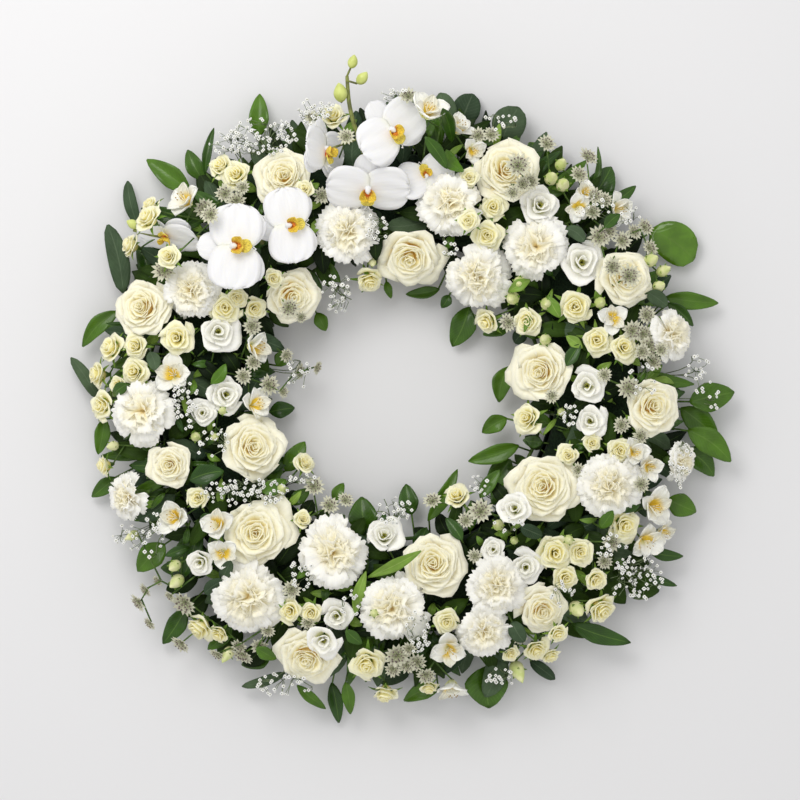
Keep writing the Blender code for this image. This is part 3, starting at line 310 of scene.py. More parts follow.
def quadsOf(*corners):
    # Faces from four grids of point numbers, one for each corner
    return np.stack([corner.ravel() for corner in corners], axis=1)


def sheets(grid, thickness, layer, tint, material):
    # Thin closed sheets: grid is (sheets, along, across, 3). A second face lies one thickness behind, and a
    # rim joins the two.
    normal = unit(np.cross(np.gradient(grid, axis=2), np.gradient(grid, axis=1)))
    points = np.stack([grid, grid - normal * thickness], axis=1)
    front, back = np.arange(points[0].size // 3).reshape(points.shape[1:4])
    quads = np.concatenate([
        quadsOf(front[:-1, :-1], front[:-1, 1:], front[1:, 1:], front[1:, :-1]),
        quadsOf(back[1:, :-1], back[1:, 1:], back[:-1, 1:], back[:-1, :-1]),
        quadsOf(front[:-1, 0], front[1:, 0], back[1:, 0], back[:-1, 0]),
        quadsOf(front[1:, -1], front[:-1, -1], back[:-1, -1], back[1:, -1]),
        quadsOf(front[0, 1:], front[0, :-1], back[0, :-1], back[0, 1:]),
        quadsOf(front[-1, :-1], front[-1, 1:], back[-1, 1:], back[-1, :-1]),
    ])
    return surfaceOf(points, quads, layer, tint, material)


def stacks(rings, layer, tint, material):
    # Closed shapes through rings of points (shapes, rings, sides, 3), capped with quads: the sides are even
    steps, sides = rings.shape[1:3]
    index = np.arange(steps * sides).reshape(steps, sides)
    after = np.roll(index, -1, axis=1)
    fan = np.array([[0, k, k + 1, k + 2] for k in range(1, sides - 2, 2)])
    quads = np.concatenate([quadsOf(index[:-1], after[:-1], after[1:], index[1:]), index[0][fan][:, ::-1],
                            index[-1][fan]])
    return surfaceOf(rings, quads, layer, tint, material)


def tubes(paths, radii, sides, layer, tint, material):
    # Round rods along paths (rods, steps, 3), with a radius at each step
    paths = np.asarray(paths, float)
    radii = np.broadcast_to(np.asarray(radii, float), paths.shape[:2])
    tangent = unit(np.gradient(paths, axis=1))
    first = unit(np.cross(tangent, np.array([0.37, 0.81, 0.45])))
    second = np.cross(tangent, first)
    about = np.linspace(0, 2 * math.pi, sides, endpoint=False)
    ring = first[:, :, None] * np.cos(about)[:, None] + second[:, :, None] * np.sin(about)[:, None]
    return stacks(paths[:, :, None] + ring * radii[:, :, None, None], layer, tint, material)


def spread(low, high, share):
    # The value that lies a share of the way from low to high
    return low + (high - low) * share


# The grid of a petal along and across, the cups' radius at the heart and outside, their height in the middle
# with its rise and fall, how the rims flare and curl, how far a petal wraps round inside and outside, its
# ripple, how round its tip is, the cup's foot, the thickness, and the power that shapes its belly inside and
# outside
cupLook = {
    "rose": {
        "petals": 30, "grid": (8, 9), "heart": 0.02, "belly": 0.84, "tall": 0.34, "dome": 0.16, "fall": 0.50,
        "flare": 0.17, "curl": 0.16, "wrap": (2.5, 0.95), "wave": 0.055, "round": 0.10, "base": -0.62,
        "thick": 0.014, "lean": (0.50, 0.72), "material": "rosePetal"},
    "sprayRose": {
        "petals": 12, "grid": (5, 9), "heart": 0.06, "belly": 0.82, "tall": 0.50, "dome": 0.05, "fall": 0.62,
        "flare": 0.16, "curl": 0.17, "wrap": (2.5, 1.25), "wave": 0.075, "round": 0.05, "base": -0.72,
        "thick": 0.03, "lean": (0.6, 0.75), "material": "sprayPetal"},
    "lisianthus": {
        "petals": 8, "grid": (8, 11), "heart": 0.14, "belly": 0.76, "tall": 0.40, "dome": 0.0, "fall": 0.42,
        "flare": 0.20, "curl": 0.18, "wrap": (2.1, 1.35), "wave": 0.065, "round": 0.08, "base": -0.66,
        "thick": 0.03, "lean": (0.5, 0.6), "material": "lisianthusPetal"},
}


def cupFlower(look, draw):
    # Petals on cups about an axis, in a golden-angle spiral: from heart to outside the cups grow wider, lean
    # out more and end lower, and their rims curl out and down. Height and reach are powers of the way along.
    count = look["petals"] + draw.integers(-1, 2)
    layer = (np.arange(count) + 0.5) / count
    s = layer[:, None, None]
    v = np.linspace(0, 1, look["grid"][0])[None, :, None] ** 0.75
    u = np.linspace(-1, 1, look["grid"][1])[None, None, :]
    turn = np.arange(count) * goldenAngle + draw.normal(0, 0.2, count)
    phase = draw.uniform(0, 2 * math.pi, (3, count))[:, :, None, None]
    along = v * (1 - look["round"] * np.abs(u) ** 3 + draw.normal(0, 0.04, (count, 1, 1)) * s)
    uneven = 1 + draw.normal(0, 0.05, (count, 1, 1))
    belly = look["heart"] + (look["belly"] - look["heart"]) * s ** 1.05 * uneven
    start = 0.03 + 0.10 * s
    reach = start + (belly - start) * np.clip(along, 1e-6, None) ** spread(*look["lean"], s)
    lip = np.clip((along - 0.60) / 0.40, 0, None)
    reach = reach + look["flare"] * draw.uniform(0.6, 1.3, (count, 1, 1)) * (0.15 + s) * lip ** 2
    rim = look["tall"] + look["dome"] * s - look["fall"] * s ** 2.0
    height = look["base"] + (rim - look["base"]) * along ** 1.1 - look["curl"] * (0.1 + s) * lip ** 2.2
    ripple = look["wave"] * along ** 3 * (0.35 + s)
    height = height + ripple * np.sin(math.pi * 1.5 * u + phase[0])
    reach = reach * (1 + 0.06 * u) + ripple * np.cos(math.pi * 1.9 * u + phase[1])
    wrap = spread(*look["wrap"], s ** 0.6)
    about = turn[:, None, None] + wrap * u * (0.60 + 0.40 * v)
    aside = draw.normal(0, 0.025, (2, count))[:, :, None, None] * along
    x, y = reach * np.cos(about) + aside[0], reach * np.sin(about) + aside[1]
    return sheets(pointsOf(x, y, height), look["thick"], layer, draw.random(count), look["material"])


carnationLook = {"petals": 38, "grid": (6, 15), "claw": 0.26, "fan": (0.36, 0.62), "long": (0.46, 0.92),
                 "rise": (80, 6), "ruffle": (0.17, 0.08, 0.022), "tooth": 0.075, "thick": 0.014}


def fringedFlower(draw):
    # Fan-shaped petals in a golden-angle spiral: each leaves a narrow claw and spreads at an elevation that
    # falls from about upright at the heart to level outside. Their margins ruffle by sines and are toothed.
    look = carnationLook
    count = look["petals"]
    layer = (np.arange(count) + 0.5) / count
    s = layer[:, None, None]
    v = np.linspace(0, 1, look["grid"][0])[None, :, None]
    u = np.linspace(-1, 1, look["grid"][1])[None, None, :]
    turn = np.arange(count) * goldenAngle + draw.normal(0, 0.5, count)
    phase = draw.uniform(0, 2 * math.pi, (4, count))[:, :, None, None]
    tooth = np.where(np.arange(look["grid"][1]) % 2 == 0, 1.0, 0.0)[None, None, :]
    tooth = tooth * draw.uniform(0.3, 1.5, (count, 1, look["grid"][1]))
    blade = np.clip((v - look["claw"]) / (1 - look["claw"]), 0, 1)
    blade = blade * (1 - 0.20 * np.abs(u) ** 2.4 - look["tooth"] * tooth * v ** 4)
    length = spread(*look["long"], s ** 0.8) * (1 + draw.normal(0, 0.09, (count, 1, 1)))
    rise = spread(*look["rise"], s ** 0.9) + draw.normal(0, 1, (count, 1, 1)) * (22 - 14 * s)
    rise = np.radians(rise) - np.radians(16) * blade ** 2
    claw = np.clip(v / look["claw"], 0, 1)
    reach = 0.02 + (0.02 + 0.12 * s) * claw + length * np.cos(rise) * blade
    height = -0.55 + 0.50 * claw + length * np.sin(rise) * blade + 0.06 * (1 - s) * claw
    half = 0.03 + spread(*look["fan"], s) * blade ** 0.75
    wide, middling, fine = look["ruffle"]
    fold = wide * np.sin(math.pi * 1.4 * u + phase[0]) + middling * np.sin(math.pi * 2.9 * u + phase[1])
    fold = fold * blade ** 1.6 * (1.25 - 0.95 * s) + fine * np.sin(math.pi * 6.3 * u + phase[2]) * blade
    across = half * u
    cosine, sine = np.cos(turn)[:, None, None], np.sin(turn)[:, None, None]
    outward = reach - fold * np.sin(rise)
    x = outward * cosine - across * sine
    y = outward * sine + across * cosine
    grid = pointsOf(x, y, height + fold * np.cos(rise))
    return sheets(grid, look["thick"], layer, draw.random(count), "carnationPetal")


def bladeGrid(steps, half, peak, power, length, start, bend, dish, wave=0.0, phase=0.0, narrow=0.995):
    # One petal lying along +X: its half width follows a superellipse, widest at peak and cut off at its foot
    # at narrow, its line bends by a quadratic, and it is dished across by another
    v = np.linspace(0.0, 1, steps[0])[:, None]
    u = np.linspace(-1, 1, steps[1])[None, :]
    beyond = np.where(v < peak, (peak - v) / peak * narrow / 0.995, (v - peak) / (1 - peak))
    width = half * np.clip(1 - np.clip(beyond, 0, 0.995) ** power, 0, None) ** (1 / power) + 0.012
    z = bend * v ** 2 + dish * u ** 2 * width / half + wave * v * np.sin(3.2 * math.pi * u + phase + 5 * v)
    return pointsOf(start + length * v, width * u, z)


def turned(grid, angle, tip=0.0, lift=0.0):
    # A petal's grid tipped up about Y and turned about Z, both in degrees
    t, a = math.radians(tip), math.radians(angle)
    x, y, z = grid[..., 0], grid[..., 1], grid[..., 2]
    x, z = x * math.cos(t) - z * math.sin(t), x * math.sin(t) + z * math.cos(t)
    return pointsOf(x * math.cos(a) - y * math.sin(a), x * math.sin(a) + y * math.cos(a), z + lift)


orchidLook = {"petal": (0.60, 0.52, 2.4), "sepal": (0.34, 0.50, 2.1), "thick": 0.9 * mm}


def orchidFlower(draw, radius):
    # Two broad petals over three narrow sepals, a three-lobed lip, a yellow callus and a short column
    thick = orchidLook["thick"] / radius
    half, peak, power = orchidLook["sepal"]
    sepals = [
        turned(bladeGrid((13, 9), half, peak, power, 0.90, 0.03, -0.08, -0.05, 0.01, k), angle, 0, -0.07)
        for k, angle in enumerate((90, 214, 326))]
    half, peak, power = orchidLook["petal"]
    petals = [
        turned(bladeGrid((15, 13), half, peak, power, 1.02, -0.03, -0.07, -0.04, 0.022, 2 + 3 * k, 0.90),
               angle, 3, 0.015 + 0.02 * k) for k, angle in enumerate((4, 176))]
    lipLobes = [turned(bladeGrid((9, 7), 0.15, 0.55, 1.9, 0.30, 0.03, 0.12, 0.12), angle, 30, 0.03)
                for angle in (-28, 208)]
    tongue = turned(bladeGrid((11, 7), 0.15, 0.66, 1.9, 0.37, 0.02, 0.04, 0.08), 270, 10, 0.05)
    whiskers = np.array([[[0, -0.38, 0.12], [0.07 * side, -0.47, 0.18], [0.13 * side, -0.42, 0.25]]
                         for side in (-1, 1)])
    column = np.array([[[0, 0.06, 0.0], [0, 0.08, 0.08], [0, 0.04, 0.16], [0, -0.02, 0.19]]])
    callus = np.array([[[0, -0.08, 0.05], [0, -0.11, 0.12], [0, -0.12, 0.17]]])
    tint = draw.random(3)
    return [
        sheets(np.stack(sepals), thick, [0.5] * 3, tint, "orchidPetal"),
        sheets(np.stack(petals), thick, [0.0] * 2, tint[:2], "orchidPetal"),
        sheets(np.stack(lipLobes), thick, [0.3] * 2, tint[:2], "orchidLip"),
        sheets(tongue[None], thick, [1.0], tint[:1], "orchidLip"),
        tubes(whiskers, [0.018, 0.014, 0.008], 4, [0.5, 0.5], [0.5, 0.5], "orchidPetal"),
        tubes(column, [0.055, 0.080, 0.075, 0.02], 8, [0.5], [0.5], "orchidPetal"),
        tubes(callus, [0.08, 0.085, 0.03], 8, [0.8], [0.5], "callus"),
    ]


# The broad and the narrow petals: half width, where it is widest, the outline's power, length, bend, dish and
# wave, turn and rise (degrees), how far the rise varies, and where they leave the throat
trumpetLook = {
    "outer": (0.48, 0.72, 1.9, 1.26, -0.34, 0.16, 0.06, 30, 54, 0.8, -0.62),
    "inner": (0.36, 0.68, 1.8, 1.20, -0.24, 0.14, 0.05, 90, 62, 1.0, -0.58),
    "stamens": 6, "thick": 0.45 * mm,
}


def trumpetFlower(draw, radius):
    # Three broad petals and three narrow ones rise from a slim throat and bend outwards, two of the narrow
    # ones with a yellow blotch, and stamens stand in the throat
    look = trumpetLook
    jitter = draw.normal(0, 11, 6)
    long = draw.uniform(0.88, 1.08, 6)
    petals = []
    for first, ring in ((0, "outer"), (3, "inner")):
        half, peak, power, length, bend, dish, wave, turn, rise, ease, lift = look[ring]
        for k in range(3):
            blade = bladeGrid((11, 9), half, peak, power, length * long[k + first], 0.0, bend, dish, wave, k)
            petals.append(turned(blade, 120 * k + turn + jitter[k + first], rise + jitter[k] * ease, lift))
    stamens = look["stamens"]
    about = np.arange(stamens) * 2 * math.pi / stamens + 0.4
    tip = pointsOf(0.22 * np.cos(about), 0.22 * np.sin(about), 0.30)
    foot = 0 * tip + raised(-0.5)
    threads = np.stack([foot, (tip + foot) / 2 * np.array([0.6, 0.6, 1.0]), tip], axis=1)
    anthers = np.stack([tip, tip + raised(0.07)], axis=1)
    tint = draw.random(3)
    thick = look["thick"] / radius
    return [
        sheets(np.stack(petals[:3] + petals[5:]), thick, [0.0] * 4, draw.random(4), "trumpetPetal"),
        sheets(np.stack(petals[3:5]), thick, [1.0] * 2, tint[:2], "trumpetInner"),
        tubes(threads, 0.015, 4, [0.5] * stamens, [0.5] * stamens, "trumpetPetal"),
        tubes(anthers, 0.032, 4, [0.5] * stamens, [0.5] * stamens, "anther"),
    ]


masterwortLook = {"bracts": 14, "pins": 20}


def starFlower(draw, radius):
    # Pointed bracts in a shallow star, and pins that stand out of its middle like a pincushion
    count = masterwortLook["bracts"]
    bracts = [turned(bladeGrid((5, 3), 0.15, 0.5, 1.5, 0.96 * draw.uniform(0.88, 1.05), 0.04, 0.08, 0.10),
                     360 * k / count + draw.uniform(-5, 5), draw.uniform(6, 18)) for k in range(count)]
    pins = masterwortLook["pins"]
    k = np.arange(pins) + 0.5
    up = 1 - 0.80 * k / pins
    level = np.sqrt(1 - up ** 2)
    about = k * goldenAngle
    way = pointsOf(level * np.cos(about), level * np.sin(about), up)
    reach = draw.uniform(0.46, 0.62, (pins, 1))
    tip = way * reach
    threads = np.stack([way * 0.04, tip], axis=1)
    pinHeads = np.stack([tip - way * 0.02, tip + way * 0.05, tip + way * 0.10], axis=1)
    return [
        sheets(np.stack(bracts), 0.3 * mm / radius, [0.5] * count, draw.random(count), "bract"),
        tubes(threads, 0.018, 4, [0.3] * pins, draw.random(pins), "bract"),
        tubes(pinHeads, [0.050, 0.072, 0.030], 4, [0.8] * pins, draw.random(pins), "pinHead"),
    ]


def budShape(draw, radius):
    # A pointed bud: a stack of rings whose radius follows a sine, with five sepals laid on it
    steps = np.linspace(0, 1, 9)
    path = pointsOf(0.05 * np.sin(3 * steps), 0, -1.2 + 2.9 * steps)[None]
    radii = 0.84 * np.sin(math.pi * steps ** 0.75) ** 0.85 * (1 - 0.30 * steps) + 0.05
    blade = bladeGrid((6, 3), 0.34, 0.4, 1.6, 1.7, 0.0, -0.5, 0.30)
    sepals = [turned(blade, 72 * k, 82, -1.22) * np.array([1.4, 1.4, 1.0]) for k in range(5)]
    return [tubes(path, radii, 10, [0.5], draw.random(1), "budSkin"),
            sheets(np.stack(sepals), 0.4 * mm / radius, [0.5] * 5, draw.random(5), "sepal")]


def smoothBud(draw):
    # An orchid's bud: an egg-shaped stack of rings on a line that bends a little
    steps = np.linspace(0, 1, 13)
    path = pointsOf(0.12 * np.sin(2.6 * steps), 0, -1.0 + 2.5 * steps)[None]
    radii = 0.82 * np.sin(math.pi * steps ** 0.85) ** 0.75 + 0.04
    return [tubes(path, radii, 14, [0.5], draw.random(1), "orchidBud")]


sepalLook = {"count": 5, "half": 0.13, "reach": 1.16, "tip": 12, "drop": -0.46}


def sepalRing(draw, radius):
    # Narrow green sepals under a cup-shaped flower
    count = sepalLook["count"]
    blade = bladeGrid((5, 3), sepalLook["half"], 0.35, 1.4, sepalLook["reach"], 0.05, -0.25, 0.1)
    found = [turned(blade, 360 * k / count + 20, sepalLook["tip"], sepalLook["drop"]) for k in range(count)]
    return sheets(np.stack(found), 0.4 * mm / radius, [0.5] * count, draw.random(count), "sepal")


def calyx():
    # The green cup under a head, from its foot to the stem
    path = np.array([[[0, 0, -1.02], [0, 0, -0.90], [0, 0, -0.70], [0, 0, -0.52]]])
    return tubes(path, [0.06, 0.14, 0.22, 0.20], 8, [0.5], [0.5], "stalk")


def throat(draw):
    # The yellow-green pistil and stamens in a lisianthus cup
    about = np.arange(7) * goldenAngle
    tip = pointsOf(0.10 * np.cos(about), 0.10 * np.sin(about), 0.04 * np.sin(3 * about) - 0.08)
    foot = tip * 0.3 + raised(-0.4)
    return tubes(np.stack([foot, tip, tip * 1.15 + raised(0.05)], axis=1), [0.03, 0.045, 0.03], 6,
                 [0.5] * 7, draw.random(7), "pistil")


def headSurfaces(kind, radius, draw):
    # The surfaces of one head in its own frame: its radius is the unit and its axis is Z
    if kind == "carnation":
        return [fringedFlower(draw), calyx()]
    if kind in cupLook:
        parts = [cupFlower(cupLook[kind], draw)]
        if kind == "lisianthus":
            parts.append(throat(draw))
        if kind == "sprayRose":
            parts.append(sepalRing(draw, radius))
        return parts + [calyx()]
    if kind == "orchidBud":
        return smoothBud(draw)
    makers = {"alstroemeria": trumpetFlower, "masterwort": starFlower, "bud": budShape,
              "orchid": orchidFlower}
    return makers[kind](draw, radius)


heads = []  # every flower head: node, kind, centre, axis, radius, turn
pieceSurfaces = {}  # every piece's surfaces, by its name


def addSurfaces(node, *surfaces):
    # Puts surfaces on the list of a piece
    pieceSurfaces.setdefault(node, []).extend(surfaces)


def addStem(node, path, radius, material="stalk", tint=0.5, sides=8):
    # One round stem or stalk along a path
    addSurfaces(node, tubes(path[None], radius, sides, [0.5], [tint], material))


def curvedStem(start, end, bow=0.12):
    # A stem that leaves its start upwards and bends over to its end
    t = np.linspace(0, 1, 6)[:, None]
    length = np.linalg.norm(end - start)
    return start + (end - start) * t + raised(1.0) * (bow * length * np.sin(math.pi * t))


def lowStalk(start, end):
    # A stalk that runs low between the blooms and turns up under its flower: its height is a power of the way
    t = np.linspace(0, 1, 7)[:, None]
    level = start + (end - start) * t ** 0.75
    level[:, 2] = start[2] + (end[2] - start[2]) * t[:, 0] ** 3
    return level


def foamFoot(centre):
    # A bloom's stem ends in the foam on the bloom's own radius of the ring, drawn in towards the middle line
    flat = np.array([centre[0], centre[1], 0.0])
    limit = layout["stemReach"]
    away = np.clip(np.hypot(flat[0], flat[1]) - layout["ringRadius"], -limit, limit)
    radius = layout["ringRadius"] + away * layout["footShare"]
    return unit(flat) * radius + raised(layout["stemEnd"])


# A head lies on a bloom that is bigger by this factor: over this share of the bloom's radius and of its own
restLook = {"bigger": 1.6, "bloom": 0.80, "own": 0.6}


def restOnBigger(node, centre, size):
    # Lifts a small head that is seen over a big bloom until it lies on that bloom
    for other, _, place, _, radius, _ in heads:
        if other == node or radius < restLook["bigger"] * size:
            continue
        level = np.hypot(*(centre - place)[:2])
        reach = restLook["bloom"] * radius + restLook["own"] * size
        if level < reach:
            centre[2] = max(centre[2], place[2] + math.sqrt(reach * reach - level * level))
    return centre


def plantBlooms():
    # Large blooms, each on a straight stem into the foam
    for kind, groups in (("rose", [[rose] for rose in roses]), ("carnation", carnations)):
        for number, places in enumerate(groups, 1):
            node = f"{kind}_{number:02d}"
            for across, down, radius, *seat in places:
                centre, axis = seatOf(across, down, *seat)
                size = radius * layout["pixel"]
                heads.append((node, kind, centre, axis, size, across * layout["headTurn"]))
                addStem(node, np.linspace(centre - axis * size * 0.8, foamFoot(centre), 5), stemLook[kind])


# How much wider each kind's open petals reach than the size in its table
headGrowth = {"sprayRose": 1.24, "lisianthus": 1.2, "masterwort": 1.22, "alstroemeria": 1.14, "bud": 1.05}


# How far under a head's middle its stalk ends, as a share of its radius
headDepth = {"bud": 1.1, "masterwort": 0.1, "alstroemeria": 0.6, "sprayRose": 0.9, "lisianthus": 0.9}


def plantSprays():
    # Each flower's stalk leaves the spray at its hub, or from an earlier stalk where that is nearer
    hubWeight = 0.25  # how much a fork's distance from the hub counts
    for node, (foot, flowers) in {**sprays, **extraSprays}.items():
        ground = onFace(*foot)
        hub = ground + raised(layout["hubHeight"])
        addStem(node, np.linspace(hub, ground + raised(layout["stemEnd"]), 3), stemLook["spray"])
        forks = np.array([hub])
        places = [(kind, *place) for kind, group in flowers.items() for place in group]
        for kind, across, down, radius, *seat in sorted(places, key=lambda f: math.dist(f[1:3], foot)):
            centre, axis = seatOf(across, down, *seat)
            size = radius * layout["pixel"] * headGrowth[kind]
            centre = restOnBigger(node, centre, size)
            heads.append((node, kind, centre, axis, size, across * layout["headTurn"]))
            end = centre - axis * size * headDepth[kind]
            way = np.linalg.norm(forks - end, axis=1) + hubWeight * np.linalg.norm(forks - hub, axis=1)
            path = lowStalk(forks[np.argmin(way)], end)
            addStem(node, path, stemLook["flower"], sides=6)
            forks = np.concatenate([forks, path[1:6]])


def plantOrchids():
    # Arching stems, rounded by a running mean of seven points. Each flower and bud hangs on a stalk from the
    # stem's nearest point.
    for node, plan in orchids.items():
        route = np.array([onFace(a, d) + raised(h * mm) for a, d, h in plan["route"]])
        t = np.linspace(0, len(route) - 1, 26)
        smooth = np.stack([np.interp(t, np.arange(len(route)), route[:, i]) for i in range(3)], axis=-1)
        padded = np.pad(smooth, ((3, 3), (0, 0)), mode="edge")
        kernel = np.ones(7) / 7
        smooth = np.stack([np.convolve(padded[:, i], kernel, mode="valid") for i in range(3)], axis=-1)
        foot = onFace(*plan["foot"]) + raised(layout["stemEnd"])
        addStem(node, smooth, np.linspace(*stemLook["orchid"], len(smooth)), "orchidStem", 0.2)
        addStem(node, np.linspace(route[0], foot, 4), stemLook["orchidFoot"], "orchidStem", 0.2)
        for across, down, radius, lift, lean, turn in plan["flowers"]:
            centre, axis = seatOf(across, down, lift, lean)
            heads.append((node, "orchid", centre, axis, radius * layout["pixel"], math.radians(turn)))
            near = smooth[np.argmin(np.linalg.norm(smooth - centre, axis=1))]
            path = curvedStem(near, centre - axis * 1.5 * mm, 0.05)
            addStem(node, path, stemLook["orchidFlower"], "orchidStem", 0.2, 6)
        for across, down, radius, slant in plan["buds"]:
            place = onFace(across, down)
            near = smooth[np.argmin(np.hypot(*(smooth - place)[:, :2].T))]
            centre = place + raised(near[2] + 3 * mm)
            axis = unit(np.array([math.sin(math.radians(slant)), math.cos(math.radians(slant)), 0.3]))
            size = radius * layout["pixel"] * 0.9
            heads.append((node, "orchidBud", centre, axis, size, 0.0))
            addStem(node, curvedStem(near, centre - axis * size), stemLook["orchidBud"], "orchidStem", 0.2, 6)


def pressHeads():
    # Each head is built in its own frame and put in its place. What stands past the plane that parts it from
    # a neighbour, by the ratio of their radii, is drawn halfway back to that plane.
    slack, near, seed = 1.16, 1.25, 1000
    for number, (node, kind, centre, axis, radius, turn) in enumerate(heads):
        draw = np.random.default_rng(seed + number)
        first, second = frameAbout(axis)
        basis = np.stack([first * math.cos(turn) + second * math.sin(turn),
                          second * math.cos(turn) - first * math.sin(turn), axis])
        limits = []
        for other, _, place, _, otherRadius, _ in heads:
            away = np.linalg.norm(place - centre)
            if other != node and 1e-6 < away < near * (radius + otherRadius):
                limits.append(((place - centre) / away, slack * away * radius / (radius + otherRadius)))
        for surface in headSurfaces(kind, radius, draw):
            local = surface["points"] @ basis * radius
            for way, room in limits if kind != "orchid" else []:
                depth = local @ way
                over = depth > room
                local[over] *= (room / depth[over])[:, None] * 0.5 + 0.5
            surface["points"] = centre + local
            addSurfaces(node, surface)
    print(len(heads), "flower heads")


leafLook = {
    "leaf": {"peak": 0.42, "power": 1.45, "fold": 0.20},
    "underLeaf": {"peak": 0.45, "power": 1.5, "fold": 0.12},
    "freshLeaf": {"peak": 0.5, "power": 1.3, "fold": 0.16},
    "sepal": {"peak": 0.4, "power": 1.4, "fold": 0.16},
    "gumLeaf": {"peak": 0.45, "power": 1.9, "fold": 0.06},
    "broadLeaf": {"peak": 0.55, "power": 2.1, "fold": 0.05},
}


def addLeaf(node, hold, places, width, kind, draw, arch=4 * mm, steps=(11, 7)):
    # A blade on the parabola through three places, or on the line through two: its half width is on a
    # superellipse; it is folded along its rib, arched by a sine, and waves slowly along its margins
    look = leafLook[kind]
    v = np.linspace(0, 1, steps[0])[:, None]
    u = np.linspace(-1, 1, steps[1])[None, :]
    start, tip = places[0], places[-1]
    along = tip - start
    length = np.linalg.norm(along)
    side = unit(np.array([-along[1], along[0], 0.0]) + 1e-9)
    up = raised(1.0)
    peak, power = look["peak"], look["power"]
    beyond = np.clip(np.where(v < peak, (peak - v) / peak, (v - peak) / (1 - peak)), 0, 0.997)
    half = width * 0.5 * (1 - beyond ** power) ** (1 / power) + 0.4 * mm
    swing = draw.normal(0, 0.05) * length
    middle = start + along * v + side * (swing * np.sin(math.pi * v)) + up * (arch * np.sin(math.pi * v))
    if len(places) == 3:
        middle = middle + (places[1] - (start + tip) / 2) * (4 * v * (1 - v))
    wave = 0.05 * width * np.sin(2 * math.pi * (v * draw.uniform(1.1, 1.9) + draw.random())) * u ** 2
    lift = half * np.abs(u) ** 1.3 * look["fold"] * 2 + wave
    grid = middle[:, None, :] + side * (half * u)[..., None] + up * (lift * np.ones_like(u))[..., None]
    stalk = curvedStem(hold, start + along * 0.04, 0.04)
    addSurfaces(node, sheets(grid[None], 0.45 * mm, [0.5], draw.random(1), kind))
    if steps[0] < 9:
        addStem(node, stalk[::2], stemLook["leaf"], tint=0.4, sides=4)
    else:
        addStem(node, stalk, stemLook["leaf"], tint=0.4, sides=6)


def shareOf(point, ends):
    # Which of a ring's branches a place belongs to, by its angle
    about = (math.degrees(math.atan2(point[1], point[0])) - ends[0]) % 360
    return sum(about >= (end - ends[0]) % 360 for end in ends)


def nearestOn(arc, place):
    # The nearest place on a line through points
    start, along = arc[:-1], arc[1:] - arc[:-1]
    share = np.clip(((place - start) * along).sum(1) / (along ** 2).sum(1), 0, 1)[:, None]
    points = start + along * share
    return points[np.argmin(np.linalg.norm(points - place, axis=1))]


# Each ring of branches: the name of its nodes, and the angles where one branch ends and the next starts
branchLook = {"outerBranch": ("outer_leaves", (20, 110, 200, 290)),
              "innerBranch": ("inner_leaves", (52, 148, 225, 288))}
leafHeights = (17, 24, 20, 28, 14, 32)


def plantFringe(radiusName, leaves):
    # Branches on arcs round the ring, each held by a stem in the foam, with leaves at six heights in turn
    name, ends = branchLook[radiusName]
    radius = layout[radiusName]
    inwards = -1 if radius > layout["ringRadius"] else 1
    gap = 5
    arcs = {}
    for number, end in enumerate(ends, 1):
        node = f"{name}_{number}"
        width = (ends[number % len(ends)] - end) % 360
        about = np.radians(np.linspace(end + gap, end + width - gap, 24))
        arc = pointsOf(radius * np.cos(about), radius * np.sin(about), layout["branchHeight"])
        arcs[node] = arc
        hold = arc[12] + raised(16 * mm)
        end = hold + unit(arc[12] * np.array([1, 1, 0])) * 30 * mm * inwards
        addStem(node, arc, stemLook["branch"])
        addStem(node, np.stack([arc[12], hold, end]), stemLook["branch"])
    draw = np.random.default_rng(11)
    for number, (a, d, tipA, tipD, width, kind) in enumerate(leaves):
        start, tip = onFace(a, d), onFace(tipA, tipD)
        node = f"{name}_{shareOf(start, ends)}"
        start[2] = leafHeights[number % 6] * mm
        tip[2] = start[2] - 5 * mm
        addLeaf(node, nearestOn(arcs[node], start), [start, tip], width * layout["pixel"], kind, draw)
    return arcs


def overHeads(across, down, clearance):
    # The place over a pixel that just clears the blooms under it
    centre, _ = seatOf(across, down)
    return restOnBigger("", centre, clearance)


def plantTopLeaves():
    # Leaves over the blooms, on parabolas through three places that just clear what lies under them
    draw = np.random.default_rng(31)
    for number, (a, d, tipA, tipD, width, kind) in enumerate(topLeaves):
        places = [overHeads(spread(a, tipA, t), spread(d, tipD, t), 4 * mm) for t in (0, 0.5, 1)]
        middle = (places[0] + places[2]) / 2
        places[1][2] = np.clip(places[1][2], middle[2] - 2 * mm, middle[2] + 9 * mm)
        hold = foamFoot(places[0]) + raised(20 * mm)
        addLeaf(f"topLeaves{number % 2 + 1}", hold, places, width * layout["pixel"], kind, draw, 1 * mm)


breathLook = {"size": (1.7, 2.7), "perTwig": 6, "thread": 0.3 * mm, "twig": 0.5 * mm, "rise": (1, 15)}


